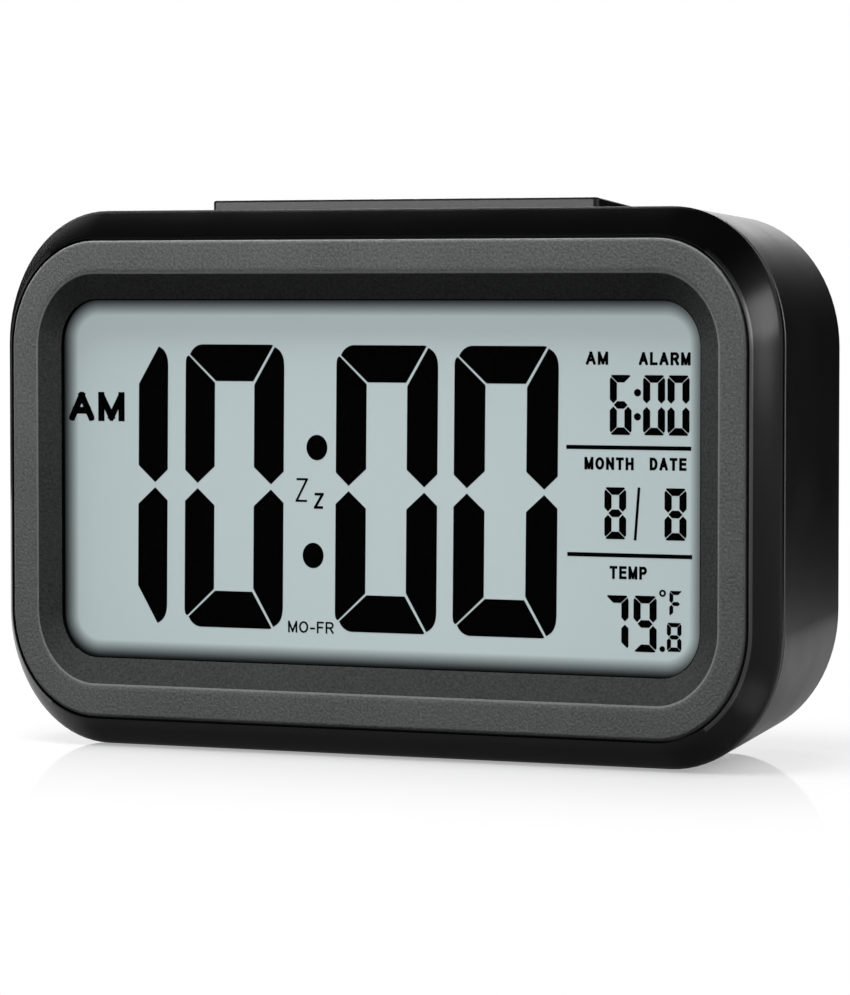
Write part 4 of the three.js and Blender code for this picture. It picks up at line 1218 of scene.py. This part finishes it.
def cut_holes(shell):
    """The openings for keys and slides, a ring of sound holes round a middle one, and vents."""
    front = BODY_REAR - WALL - 1
    key_hole = (KEY_W + FIT_GAP, KEY_H + FIT_GAP, KEY_H + FIT_GAP - 0.01)
    holes = [tool(place.x, BUTTON_Z, *key_hole, front) for place in BUTTONS]
    for side in (-1, 1):
        holes.append(tool(side * SLIDER_X, BUTTON_Z, *SLIDE_SLOT, front, mouth=0.2))
    for x, z in ((0, 0), *disc(0, 0, SOUND_CIRCLE, SOUND_CIRCLE, 6)):
        holes.append(tool(SOUND.x + x, SOUND.z + z, *SOUND_HOLE, front, mouth=0.15))
    for step in (-2, -1, 0, 1, 2):
        holes.append(tool(VENT_X, VENT_Z + VENT_PITCH * step, *VENT_SLOT, front, mouth=0.15))
    cut(shell, holes)


def upright(name, insets, heights):
    """A loft through the bar's plan, shrunk at each height, that is made lying and stood up."""
    half_deep = (BAR_REAR_Y - BAR_FRONT_Y) / 2
    plan = section(0, -BAR_MIDDLE_Y, BAR_W, half_deep, BAR_CORNER, BAR_CORNER, 0)
    plans = [at(grown(plan, -inset), height) for inset, height in zip(insets, heights)]
    piece = loft(name, plans, steps=12)
    choose(piece)
    piece.rotation_euler = FACING_FRONT
    bpy.ops.object.transform_apply(location=True, rotation=True, scale=True)
    return piece


def cut_top(shell):
    """The bar's opening, whose mouth flares, and the holes of its pins."""
    opening = upright("opening", (-0.4, -0.4, -0.6, -0.9), (RIB_FOOT, 82.75, 82.96, 84))
    cut(shell, [opening, cross_rod("pins", 33.5, BAR_PIN_Y, BAR_PIN_Z, 0.9)])


def cut_pockets(shell):
    for side in ("left", "right"):
        low, high = span(f"rear_foot_{side}")
        start = (low.x - FIT_GAP, low.y - FIT_GAP, -1)
        cut(shell, [block("pocket", start, (high.x + FIT_GAP, high.y + FIT_GAP, high.z))])


def rear_shell():
    shell = shell_body()
    for step in (add_bay, add_wells, cut_holes, cut_top, cut_pockets):
        step(shell)
    return shell


def in_seam(place):
    """The part of the shell's front edge that lies in the seam and gets a painted shadow."""
    return place.y < SHELL_FRONT + 0.05 and inside(place, grown(CASE, -0.7))


def on_seam_edge(place):
    """The round between the seam and the side, which gets a painted highlight."""
    return place.y < SHELL_FRONT + 0.46 and not inside(place, grown(CASE, -0.58))


shell = finish(rear_shell(), shell_finish, "case", "shell_black", "rear_housing")
# The seam gets a painted shadow.
finish_faces(shell, painted_shadow_finish, in_seam)
# The round beside the seam gets the painted highlight.
finish_faces(shell, painted_edge_highlight, on_seam_edge)

# %% [markdown]
# ## The snooze bar
# The bar is a low wedge with round corners. It is lofted from its plan, stood up, and its top is
# turned a few degrees down to the rear. A grey strip lies in a groove round its front, so the bar
# is cut with a wider copy of the strip, and a thin dark line stays round it.

# %% Bar
BAR_TOP_FRONT = bar_high.z
BAR_TOP_REAR = CASE_HIGH.z + 0.1
STRIP_LOW = 81.1
STRIP_HIGH = 84.3
STRIP_END = 31.5
STRIP_THICK = 0.6
STRIP_WRAP = 2.2
GROOVE = 0.1
BEYOND_X = 40


def bar_strip(name, gap, outside=0):
    """The band of the bar's front, wrapped a little round its corners."""
    band = upright(name, (-outside, -outside), (STRIP_LOW - gap, STRIP_HIGH + gap))
    inner = upright("inner", (STRIP_THICK + gap,) * 2, (STRIP_LOW - 1, STRIP_HIGH + 1))
    far = (BEYOND_X, 20, 90)
    behind = block("behind", (-BEYOND_X, BAR_FRONT_Y + STRIP_WRAP + gap, 75), far)
    left = block("left", (-BEYOND_X, -20, 75), (-STRIP_END - gap, 20, 90))
    right = block("right", (STRIP_END + gap, -20, 75), far)
    cut(band, [inner, behind, left, right])
    return band


def snooze_bar():
    top = BAR_TOP_FRONT
    heights = (BAR_BOTTOM, top - 0.3, top - 0.17, top - 0.07, top - 0.02, top)
    bar = upright("bar_body", (0, 0, 0.04, 0.13, 0.25, 0.45), heights)
    slope = math.atan((top - BAR_TOP_REAR) / (BAR_REAR_Y - BAR_FRONT_Y))
    pick(bar, lambda index, place: place.z > BAR_BOTTOM + 0.5)
    bpy.ops.transform.rotate(value=slope, orient_axis="X", center_override=(0, BAR_FRONT_Y, top))
    stop_editing()
    cut(bar, [bar_strip("groove", GROOVE, outside=1)])
    rib = block("rib", (-3, -6.4, RIB_FOOT), (3, -4.4, BAR_BOTTOM + 0.5))
    cut(bar, [rib, cross_rod("pins", 33.2, BAR_PIN_Y, BAR_PIN_Z, 0.6)], "UNION")
    return bar


bar = snooze_bar()
print("bar top", round(max(vert.co.z for vert in bar.data.vertices), 2))
finish(bar, shell_finish, "bar", "shell_black", "snooze_bar")
strip = bar_strip("bar_strip", 0)
apply(strip, "BEVEL", width=0.18, segments=3, **SHARP_ONLY)
finish(strip, strip_finish, "bar", "strip_grey", "snooze_bar_strip")

# %% [markdown]
# ## Buttons and slides on the back
# Four buttons with round ends stand out of the rear face by less than a millimetre. Each one has a
# crowned cap, a flange inside the shell and a stem for its switch. The slides are small ridged
# knobs on a wide skirt that hides the slot. One of each is modelled, and the others are copies.

# %% Rear buttons
button_low, button_high = span("rear_button_1")
FLANGE_REAR = BODY_REAR - WALL - 0.6


def rear_button(x):
    """A crowned cap on a flange, with a stem to the front for its switch."""
    corner = KEY_H - 0.01
    cap = section(x, BUTTON_Z, KEY_W, KEY_H, corner, corner, FLANGE_REAR)
    top = button_high.y
    flange = grown(cap, 1)
    side = at(cap, top - 0.45)
    crown = at(grown(cap, -0.6), top - 0.02)
    shapes = [
        at(flange, FLANGE_REAR - 1),
        flange,
        cap,
        *curve(side, at(grown(cap, -0.05), top - 0.08), crown, 5),
        at(grown(cap, -1.3), top),
    ]
    made = loft("rear_key_1", shapes, steps=12)
    stem = rod("stem", (x, button_low.y, BUTTON_Z), (x, FLANGE_REAR - 0.9, BUTTON_Z), 1.5, 32)
    join(made, [stem])
    return made


keys = [rear_button(BUTTONS[0].x)]
for number in (2, 3, 4):
    shift = (BUTTONS[number - 1].x - BUTTONS[0].x, 0, 0)
    keys.append(copy_of(keys[0], f"rear_key_{number}", shift))
for number, key in enumerate(keys, 1):
    finish(key, button_finish, f"button_{number}", "shell_black", f"rear_button_{number}")

# %% Slides
slide_low, slide_high = span("alarm_slider")


def slide_knob(x):
    """A small knob with three grooves, on a skirt that fills its slot from inside."""
    knob = section(x, BUTTON_Z, 1.8, 1.2, 0.3, 0.3, slide_low.y)
    top = slide_high.y
    made = loft("alarm_knob", [knob, at(knob, top - 0.15), at(grown(knob, -0.12), top)], steps=6)
    skirt_rear = BODY_REAR - WALL - 0.5
    skirt_low = (x - 4, skirt_rear - 0.8, BUTTON_Z - 2.4)
    cut(made, [block("skirt", skirt_low, (x + 4, skirt_rear, BUTTON_Z + 2.4))], "UNION")
    grooves = []
    for groove_x in (x - 0.8, x, x + 0.8):
        low = (groove_x - 0.15, top - 0.25, BUTTON_Z - 2)
        grooves.append(block("groove", low, (groove_x + 0.15, top + 1, BUTTON_Z + 2)))
    cut(made, grooves)
    return made


alarm_place = middle("alarm_slider")
knob = slide_knob(alarm_place.x)
other_knob = copy_of(knob, "light_knob", middle("light_slider") - alarm_place)
finish(knob, button_finish, "alarm_slide", "shell_black", "alarm_slider")
finish(other_knob, button_finish, "light_slide", "shell_black", "light_slider")

# %% [markdown]
# ## The battery door
# The door is a flat panel that swings down on two small pins. A thumb grip is sunk near its top
# edge, with three ridges that the nail catches on.

# %% Battery door
def battery_door():
    """A panel with soft edges, a sunk grip with ridges, and two pins at its lower edge."""
    low, high = door_low, door_high
    outside = BODY_REAR - 0.1
    centre_z = (low.z + high.z) / 2
    shape = section(0, centre_z, DOOR_W, (high.z - low.z) / 2, 0.5, 0.5, low.y)
    edge = 0.3
    rounded = curve(at(shape, outside - edge), at(shape, outside), at(grown(shape, -edge), outside))
    panel = loft("door_panel", [shape, *rounded], steps=8)
    grip_z = high.z - 3.25
    cut(panel, [tool(0, grip_z, 5.2, 1.25, 0.6, outside - 0.8, rear=outside, mouth=0.3)])
    added = [cross_rod("pins", high.x, low.y + 0.5, low.z + 0.5, 0.55)]
    for step in (-0.7, 0, 0.7):
        added.append(cross_rod("ridge", 4.6, outside - 0.72, grip_z + step, 0.22, 12))
    cut(panel, added, "UNION")
    return panel


finish(battery_door(), shell_finish, "door", "shell_black", "battery_door")

# %% [markdown]
# ## Feet, screws and cells
# Two rubber pads carry the rear. The long case screws sit at the bottom of their wells, with a cross
# recess and a thread. The three cells lie head to tail, each a metal can in a printed sleeve with
# a plain two-colour design. One of each is modelled, and its equals are copies.

# %% Metal
def metal(name, colour, roughness, stretch=(1, 1, 12)):
    """A plated metal with fine scratches that are long across the stretched axis."""
    recipe = Recipe(name)
    fine = recipe.noise(900.0, detail=4.0, stretch=stretch)
    broad = recipe.noise(140.0)
    recipe.bump(fine, 0.000004)
    return recipe.set(
        Base_Color=recipe.mix(broad, shade(0.8, colour), shade(1.0, colour)),
        Metallic=1.0,
        Roughness=roughness + (fine - 0.5) * 0.2 + (broad - 0.5) * 0.1,
    )


steel_finish = metal("nickel_plate", (0.6, 0.59, 0.56), 0.26)
screw_finish = metal("zinc_screw", (0.5, 0.5, 0.52), 0.34, (1, 8, 1))

# %% Feet
foot_low, foot_high = span("rear_foot_left")


def rubber_pad():
    """A soft-edged block with three grooves in its underside."""
    pad = block("rear_pad_left", foot_low, foot_high)
    apply(pad, "BEVEL", width=0.5, segments=4)
    for step in (-1.6, 0, 1.6):
        y = (foot_low.y + foot_high.y) / 2 + step
        cut(pad, [block("groove", (foot_low.x - 1, y - 0.25, -1), (foot_high.x + 1, y + 0.25, 0.25))])
    return pad


pad = rubber_pad()
other_pad = copy_of(pad, "rear_pad_right", (-2 * middle("rear_foot_left").x, 0, 0))
finish(pad, rubber_finish, "case", "rubber_black", "rear_foot_left")
finish(other_pad, rubber_finish, "case", "rubber_black", "rear_foot_right")

# %% Case screws
screw_low, screw_high = span("case_screw_1")
HEAD_TALL = 2.0
SHANK_RADIUS = 1.25
ROOT_RADIUS = SHANK_RADIUS - 0.22
TIP_TALL = 1.2
THREAD_PITCH = 0.9
THREAD_TURNS = 12
CROSS_WIDE = 0.7
CROSS_LONG = 2.6
CROSS_DEEP = 1.2


def case_screw(place):
    """A screw lofted from round sections: its tip, its thread, its seat and its domed head."""

    def round_at(radius, y):
        half = radius + 0.005
        return section(place.x, place.z, half, half, radius, radius, y)

    head = (screw_high.x - screw_low.x) / 2
    seat = screw_high.y - HEAD_TALL
    tip = screw_low.y
    shapes = [round_at(0.4, tip), round_at(ROOT_RADIUS, tip + TIP_TALL)]
    for turn in range(THREAD_TURNS):
        y = tip + TIP_TALL + turn * THREAD_PITCH
        shapes.append(round_at(SHANK_RADIUS, y + THREAD_PITCH / 2))
        shapes.append(round_at(ROOT_RADIUS, y + THREAD_PITCH))
    shapes += [round_at(ROOT_RADIUS, seat), round_at(head - 0.1, seat)]
    shoulder = round_at(head - 0.35, seat + 1.3)
    shapes += curve(round_at(head, seat + 0.1), round_at(head, seat + 0.5), shoulder)
    crown = round_at(head - 0.8, screw_high.y)
    shapes += curve(shoulder, crown, round_at(0.6, screw_high.y))[1:]
    made = loft("case_bolt_1", shapes, steps=6)
    floor = screw_high.y - CROSS_DEEP
    for wide, tall in ((CROSS_LONG, CROSS_WIDE), (CROSS_WIDE, CROSS_LONG)):
        slot = section(place.x, place.z, wide / 2 - 0.2, tall / 2 - 0.1, 0.1, 0.1, floor)
        cutter = loft("slot", [slot, at(grown(slot, 0.25, 0.12), screw_high.y + 0.5)], steps=2)
        cut(made, [cutter])
    return made


first_place = middle("case_screw_1")
bolts = [case_screw(first_place)]
for number in (2, 3, 4):
    bolts.append(copy_of(bolts[0], f"case_bolt_{number}", middle(f"case_screw_{number}") - first_place))
for number, bolt in enumerate(bolts, 1):
    finish(bolt, screw_finish, "case", "steel_bright", f"case_screw_{number}")

# %% Cells
CAN_STEP = 0.12
SLEEVE_SHORT = 0.45
SHOULDER = 1.0
NUB_RADIUS = 1.9
# The copper band starts this far from the cell's middle, and a pale line runs beside it, in metres.
BAND_EDGE = 0.00915
LINE_BESIDE = 0.0012


def sleeve_material(plus):
    """A dark sleeve with a copper-coloured band at its plus end and fine lines along it."""
    recipe = Recipe("cell_sleeve_right" if plus > 0 else "cell_sleeve_left")
    x, _, _ = recipe.axes()
    band = (x * plus).above(BAND_EDGE, 0.0002)
    line = abs(x * plus - (BAND_EDGE - LINE_BESIDE)).above(0.0003, 0.0001)
    lines = recipe.noise(2500.0, detail=1.0, stretch=(0.02, 1, 1))
    ground = recipe.mix(lines, (0.012, 0.013, 0.016, 1), (0.02, 0.022, 0.026, 1))
    copper = recipe.mix(lines, (0.55, 0.27, 0.1, 1), (0.68, 0.36, 0.15, 1))
    marked = recipe.mix(line, (0.5, 0.5, 0.5, 1), ground)
    recipe.bump(lines, 0.000005)
    return recipe.set(
        Base_Color=recipe.mix(band, marked, copper), Metallic=band * 0.8, Roughness=0.28 + lines * 0.08
    )


def cell(name, node, plus):
    """A can in a sleeve, with its nub at the end that plus points to along x."""
    low, high = span(node)
    place = middle(node)
    radius = (high.z - low.z) / 2
    flat, tip = (low.x, high.x) if plus > 0 else (high.x, low.x)
    shoulder = tip - plus * SHOULDER

    def barrel(start, end, size):
        return rod("barrel", (start, place.y, place.z), (end, place.y, place.z), size, 48, axis="X")

    can = barrel(flat, shoulder, radius - CAN_STEP)
    sleeve = barrel(flat + plus * SLEEVE_SHORT, shoulder - plus * SLEEVE_SHORT, radius)
    nub = barrel(shoulder - plus * 0.5, tip, NUB_RADIUS)
    cut(can, [sleeve, nub], "UNION")
    apply(can, "BEVEL", width=0.1, segments=3, **SHARP_ONLY)
    return rename(can, name)


cells = [cell("cell_low", "battery_1", 1), cell("cell_middle", "battery_2", -1)]
rise = middle("battery_3") - middle("battery_1")
cells.append(copy_of(cells[0], "cell_high", rise))
sleeves = {plus: sleeve_material(plus) for plus in (1, -1)}
for number, (made, plus) in enumerate(zip(cells, (1, -1, 1)), 1):
    low, high = span(f"battery_{number}")
    flat_x, tip_x = (low.x, high.x) if plus > 0 else (high.x, low.x)
    finish(made, sleeves[plus], "case", "cell_sleeve", f"battery_{number}")
    bare = SHOULDER + SLEEVE_SHORT + 0.05
    finish_faces(made, steel_finish, lambda place: (tip_x - place.x) * plus < bare)
    finish_faces(made, steel_finish, lambda place: (place.x - flat_x) * plus < SLEEVE_SHORT + 0.05)

# %% [markdown]
# ## Finishes for the parts inside
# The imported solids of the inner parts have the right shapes, so they stay. Each one gets a finish
# with the detail of the real part: copper tracks under green lacquer, the printed stripe of the
# capacitor, the layers of the rubber connectors, the wires side by side in the flat cable.

# %% Inner finishes
def repeats(recipe, along, pitch):
    """From 0 to 1 along every pitch. The 500 keeps the number above 0 on both sides of the middle."""
    return recipe.maths("FRACT", along / pitch + 500.0)


def stripes(recipe, along, pitch, share, soft=0.1):
    """1 on stripes that repeat every pitch and cover that share of it."""
    return repeats(recipe, along, pitch).above(1 - share, soft)


def board_material():
    """Green lacquer over tracks in two directions, with tinned pads."""
    recipe = Recipe("board_lacquer")
    x, _, z = recipe.axes()
    patch = recipe.noise(70.0, detail=0.0).above(0.5, 0.01)
    lanes = stripes(recipe, x, 0.0016, 0.38) * patch + stripes(recipe, z, 0.0016, 0.38) * (1 - patch)
    track = lanes * recipe.noise(160.0, detail=0.0).above(0.52, 0.02)
    spots = recipe.node("ShaderNodeTexVoronoi", Vector=recipe.place, Scale=230.0)
    pad = 1 - Signal(recipe, spots.outputs["Distance"]).above(0.14, 0.02)
    weave = recipe.noise(1800.0, detail=1.0)
    lacquer = recipe.mix(weave, (0.006, 0.07, 0.024, 1), (0.01, 0.09, 0.032, 1))
    green = recipe.mix(track, lacquer, (0.03, 0.2, 0.07, 1))
    recipe.bump(track + pad * 2 + weave * 0.2, 0.00002)
    return recipe.set(
        Base_Color=recipe.mix(pad, green, (0.62, 0.6, 0.56, 1)), Metallic=pad, Roughness=0.3 + weave * 0.1
    )


def capacitor_material():
    """A dark blue sleeve with a pale stripe and a bare metal top."""
    recipe = Recipe("capacitor_print")
    x, y, _ = recipe.axes()
    low, high = span("buffer_capacitor")
    stripe = x.above((high.x - 1.1) * MM, 0.0001)
    bare = y.above((high.y - 0.15) * MM, 0.00005)
    grain = recipe.noise(1200.0)
    sleeve = recipe.mix(stripe, (0.012, 0.018, 0.05, 1), (0.5, 0.52, 0.55, 1))
    recipe.bump(grain, 0.000006)
    return recipe.set(
        Base_Color=recipe.mix(bare, sleeve, (0.75, 0.75, 0.76, 1)),
        Metallic=bare,
        Roughness=0.28 + grain * 0.12,
    )


def buzzer_material():
    """A brass disc with a pale ceramic disc on it, and a silvered disc on that."""
    recipe = Recipe("buzzer_discs")
    x, _, z = recipe.axes()
    across = x - SOUND.x * MM
    up = z - SOUND.z * MM
    radius = recipe.maths("SQRT", across * across + up * up)
    ceramic = 1 - radius.above(0.0078, 0.0001)
    silver = 1 - radius.above(0.0068, 0.0001)
    scratch = recipe.noise(700.0, detail=4.0, stretch=(1, 1, 10))
    brass = recipe.mix(scratch, (0.62, 0.43, 0.17, 1), (0.75, 0.55, 0.24, 1))
    stacked = recipe.mix(ceramic, brass, (0.62, 0.56, 0.42, 1))
    recipe.bump(scratch * 0.2 + ceramic + silver, 0.00002)
    return recipe.set(
        Base_Color=recipe.mix(silver, stacked, (0.72, 0.7, 0.66, 1)),
        Metallic=1 - ceramic * 0.9,
        Roughness=0.28 + scratch * 0.15,
    )


def ribbon_material():
    """Eight wires side by side, the first of them red."""
    recipe = Recipe("ribbon_wires")
    x, _, _ = recipe.axes()
    width = middle("ribbon_cable").x - span("ribbon_cable")[0].x
    pitch = width / 4 * MM
    groove = abs(repeats(recipe, x, pitch) - 0.5).above(0.42, 0.1)
    first = 1 - x.above(-width * MM + pitch, 0.0001)
    wear = recipe.noise(600.0)
    grey = recipe.mix(wear, (0.3, 0.3, 0.31, 1), (0.36, 0.36, 0.37, 1))
    inked = recipe.mix(first, grey, (0.45, 0.03, 0.025, 1))
    recipe.bump(1 - groove, 0.0001)
    return recipe.set(
        Base_Color=recipe.mix(groove, inked, shade(0.12)),
        Roughness=0.45 + wear * 0.1,
    )


def zebra_material():
    """Thin layers of carbon rubber and clear rubber, by turns."""
    recipe = Recipe("zebra_layers")
    x, _, _ = recipe.axes()
    layer = stripes(recipe, x, 0.0005, 0.5, 0.2)
    grain = recipe.noise(3000.0)
    recipe.bump(layer + grain * 0.3, 0.00001)
    return recipe.set(
        Base_Color=recipe.mix(layer, (0.012, 0.012, 0.013, 1), (0.35, 0.2, 0.18, 1)),
        Roughness=0.6 + grain * 0.15,
    )


def diffuser_material():
    """Milky acrylic with rows of fine printed dots."""
    recipe = Recipe("diffuser_dots")
    x, _, z = recipe.axes()
    beside, above = (repeats(recipe, axis, 0.0014) - 0.5 for axis in (x, z))
    dot = 1 - (beside * beside + above * above).above(0.07, 0.02)
    cloud = recipe.noise(200.0)
    acrylic = recipe.mix(cloud, (0.74, 0.76, 0.77, 1), (0.8, 0.82, 0.83, 1))
    recipe.bump(dot, 0.00001)
    return recipe.set(
        Base_Color=recipe.mix(dot, acrylic, shade(0.93)),
        Roughness=0.4 + dot * 0.2,
    )


def led_material():
    """A white case round a yellow lamp face."""
    recipe = Recipe("led_phosphor")
    x, _, z = recipe.axes()
    aside = abs(x) - middle("backlight_led_right").x * MM
    up = z - middle("backlight_led_right").z * MM
    face = 1 - recipe.maths("SQRT", aside * aside + up * up).above(0.001, 0.0001)
    grain = recipe.noise(2500.0)
    recipe.bump(grain - face, 0.00001)
    return recipe.set(
        Base_Color=recipe.mix(face, (0.8, 0.79, 0.76, 1), (0.75, 0.62, 0.12, 1)),
        Roughness=0.35 + grain * 0.15,
    )


def dress(material, *nodes):
    """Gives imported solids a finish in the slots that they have."""
    for node in nodes:
        for slot in bpy.data.objects[node].material_slots:
            slot.material = material
    print(material.name, "on", len(nodes), "solids")


def numbered(name, count):
    return [f"{name}_{number}" for number in range(1, count + 1)]


dress(board_material(), "main_board", "rear_board")
dress(moulded("epoxy_drop", 0.006, WHITE, 0.16, 0.003, 0.00006), "controller_blob")
SWITCHES = (*numbered("key_switch", 4), "snooze_switch")
CONTACTS = (*numbered("contact_plate", 4), *numbered("contact_spring", 3), "quartz_crystal")
dress(moulded("switch_nylon", 0.018, WHITE, 0.42, 0.0004, 0.00001), *SWITCHES)
dress(moulded("thermistor_bead", 0.012, (1.0, 0.95, 0.9), 0.3, 0.0012, 0.00004), "thermistor")
dress(moulded("holder_nylon", 0.007, WHITE, 0.55, 0.0004, 0.00001, 0.2), "display_holder")
dress(moulded("wire_red_sleeve", 0.4, (1, 0.06, 0.05), 0.4, 0.0008, 0.00001), "battery_wire_plus")
dress(moulded("wire_black_sleeve", 0.012, WHITE, 0.42, 0.0008, 0.00001), "battery_wire_minus")
dress(steel_finish, *CONTACTS)
dress(metal("switch_frame", (0.55, 0.54, 0.5), 0.36, (12, 1, 1)), "alarm_switch_body", "light_switch_body")
dress(screw_finish, *numbered("main_board_screw", 4), *numbered("rear_board_screw", 2))
dress(capacitor_material(), "buffer_capacitor")
dress(buzzer_material(), "buzzer")
dress(ribbon_material(), "ribbon_cable")
dress(zebra_material(), "zebra_strip_lower", "zebra_strip_upper")
dress(diffuser_material(), "backlight_panel")
dress(led_material(), "backlight_led_left", "backlight_led_right")

# %% [markdown]
# ## The table and the light
# The clock stands on a white glossy table in front of white. The table is white to the camera, to
# gloss and to glass, and it mirrors the clock softly near its foot. The main lamp hangs above the
# front, two more light the left side and the back, and the world fills in a little. Four small
# ones only show as gloss: they draw the bright edge beside the ring, and the highlights on the
# flare and on the corner of the rear shell.

# %% Table
TABLE_SIZE = 6.0
FOOTPRINT = (0.05, 0.018)
MIRROR_REACH = 0.085
CONTACT_REACH = 0.014
MIRROR_MOST = 0.22
SHADOW_REACH = 0.06
SHADOW_MOST = 0.35
GLOSSY_LOSS = 0.2
GLOSSY_PAINTED_SHADE = 0.35


def table_material():
    """White that is seen by camera, gloss and glass, with a mirror and a shadow near the clock; to gloss
    it is dimmer, with painted shade near the clock.
    """
    recipe = Recipe("table_white")
    x, y, _ = recipe.axes()
    side = recipe.maths("MAXIMUM", abs(x) - FOOTPRINT[0], 0.0)
    front = recipe.maths("MAXIMUM", abs(y) - FOOTPRINT[1], 0.0)
    away = recipe.maths("SQRT", side * side + front * front)
    reaches = (MIRROR_REACH, CONTACT_REACH, SHADOW_REACH)
    near, touch, close = (1 - (away / reach).above(0.5, 1.0) for reach in reaches)
    camera_ray, glossy, glass = recipe.rays()
    seen = recipe.maths("MAXIMUM", recipe.maths("MAXIMUM", camera_ray, glossy), glass)
    recipe.set(Base_Color=shade(0.06), Roughness=0.6)
    bright = recipe.node("ShaderNodeEmission", Color=shade(1), Strength=1.0)
    dull = recipe.node("ShaderNodeEmission", Color=shade(0))
    mirror = recipe.node("ShaderNodeBsdfGlossy", Color=shade(1), Roughness=0.04)
    shadow = recipe.node("ShaderNodeBsdfDiffuse", Color=(0.45, 0.45, 0.46, 1))
    # To gloss the table is a little dimmer, and darker near the clock as painted shade.
    glow = recipe.blend(glossy * (near * near * GLOSSY_PAINTED_SHADE + GLOSSY_LOSS), bright, dull)
    ground = recipe.blend(close * close * SHADOW_MOST, glow, shadow)
    glossed = recipe.blend((near * near + touch * touch) * MIRROR_MOST, ground, mirror)
    return recipe.show(recipe.blend(seen, recipe.shader, glossed))


deselect()
bpy.ops.mesh.primitive_plane_add(size=TABLE_SIZE, location=(0, 0, 0))
table = bpy.context.object
table.name = "table"
table.data.materials.append(table_material())
table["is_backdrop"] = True
print("table", TABLE_SIZE, "metres wide")

# %% World
WORLD_FILL = 0.07

world = bpy.data.worlds.new("white_room")
bpy.context.scene.world = world
world.use_nodes = True
sky = world.node_tree
fill = sky.nodes["Background"]
white = sky.nodes.new("ShaderNodeBackground")
for ground, strength in ((fill, WORLD_FILL), (white, 1.0)):
    ground.inputs["Color"].default_value = shade(1)
    ground.inputs["Strength"].default_value = strength
path = sky.nodes.new("ShaderNodeLightPath")
seen = path.outputs["Is Camera Ray"]
for kind in RAY_KINDS[1:]:
    either = sky.nodes.new("ShaderNodeMath")
    either.operation = "MAXIMUM"
    sky.links.new(seen, either.inputs[0])
    sky.links.new(path.outputs[f"Is {kind} Ray"], either.inputs[1])
    seen = either.outputs[0]
choice = sky.nodes.new("ShaderNodeMixShader")
for socket, source in zip(choice.inputs, (seen, fill.outputs[0], white.outputs[0])):
    sky.links.new(source, socket)
sky.links.new(choice.outputs[0], sky.nodes["World Output"].inputs["Surface"])
print("world fill", WORLD_FILL)

# %% Lamps
# Name, place and size in metres, and power in watts.
LAMPS = (
    ("lamp_above_front", (-0.06, -0.15, 0.43), (0.24, 0.24), 4.7),
    ("gloss_front_right", (0.28, -0.22, 0.05), (0.24, 0.1), 0.26),
    ("gloss_right", (0.202, 0.005, 0.111), (0.062, 0.062), 0.112),
    ("gloss_right_low", (0.202, 0.005, 0.07), (0.032, 0.032), 0.018),
    ("gloss_behind", (-0.03, 0.27, 0.17), (0.12, 0.05), 0.05),
    ("lamp_left", (-0.75, -0.33, 0.08), (0.25, 0.25), 1.0),
    ("lamp_left_rear", (-0.5, 0.75, 0.45), (0.5, 0.5), 11.0),
)
NOT_IN_GLOSS = ("lamp_above_front", "lamp_left")


def add_lamp(name, place, size, power):
    deselect()
    bpy.ops.object.light_add(type="AREA", location=place)
    lamp = bpy.context.object
    lamp.name = name
    lamp.data.shape = "RECTANGLE"
    lamp.data.size, lamp.data.size_y = size
    lamp.data.energy = power
    lamp.visible_camera = False
    lamp.visible_diffuse = not name.startswith("gloss")
    lamp.visible_glossy = name not in NOT_IN_GLOSS
    aim = lamp.location - (cad_box[0] + cad_box[1]) / 2
    lamp.rotation_euler = aim.to_track_quat("Z", "Y").to_euler()
    print(name, power, "watts")


for entry in LAMPS:
    add_lamp(*entry)

# %% [markdown]
# ## Dark cards
# A black object in an all white room looks grey. Three dark cards, one hung above the clock and two
# stood behind its sides, give the case deep blacks between its bright edges. Only gloss shows them,
# and they fade out toward their sides and tops, so that the table never mirrors a hard edge.

# %% Cards
# Name, place and half size in metres, tilt, and the share of the card that its soft edge takes.
CARDS = (
    ("card_above", (-0.05, 0.01, 0.13), (0.24, 0.06), 0, 0.2),
    ("card_behind", (0.19, 0.25, 0.08), (0.165, 0.08), math.pi / 2, 0.06),
    ("card_behind_left", (-0.24, 0.12, 0.14), (0.16, 0.11), math.pi / 2, 0.2),
)


def card_material(name, fade):
    """Black to gloss alone, and clear to everything else."""
    recipe = Recipe(f"{name}_black")
    coordinates = recipe.node("ShaderNodeTexCoord")
    place = recipe.node("ShaderNodeSeparateXYZ", Vector=coordinates.outputs["UV"])
    u, v = (Signal(recipe, place.outputs[axis]) for axis in "XY")
    side = recipe.maths("MINIMUM", u, 1 - u)
    edge = recipe.maths("MINIMUM", side, 1 - v) / fade
    recipe.set(Base_Color=shade(0.002), Roughness=1.0, Specular_IOR_Level=0.0)
    clear = recipe.node("ShaderNodeBsdfTransparent")
    glossy = recipe.rays()[1]
    return recipe.show(recipe.blend(1 - glossy * edge.above(0.5, 1.0), recipe.shader, clear))


def add_card(name, place, half, tilt, fade):
    deselect()
    bpy.ops.mesh.primitive_plane_add(size=2, location=place, rotation=(tilt, 0, 0))
    card = bpy.context.object
    card.name = name
    card.scale = (*half, 1)
    bpy.ops.object.transform_apply(location=True, rotation=True, scale=True)
    card.data.materials.append(card_material(name, fade))
    card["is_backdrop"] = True
    print(name, "at", place)


for entry in CARDS:
    add_card(*entry)

# %% [markdown]
# ## The boxes
# The dressed clock has to stay inside the box of the imported solids. Both boxes are printed in
# millimetres.

# %% Sizes
shown_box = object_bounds()
boxes = {"cad": cad_box, "shown": shown_box}
boxes = {name: [list(corner) for corner in box] for name, box in boxes.items()}
for name, box in boxes.items():
    print(name, "box in millimetres", [[round(part / MM, 2) for part in corner] for corner in box])
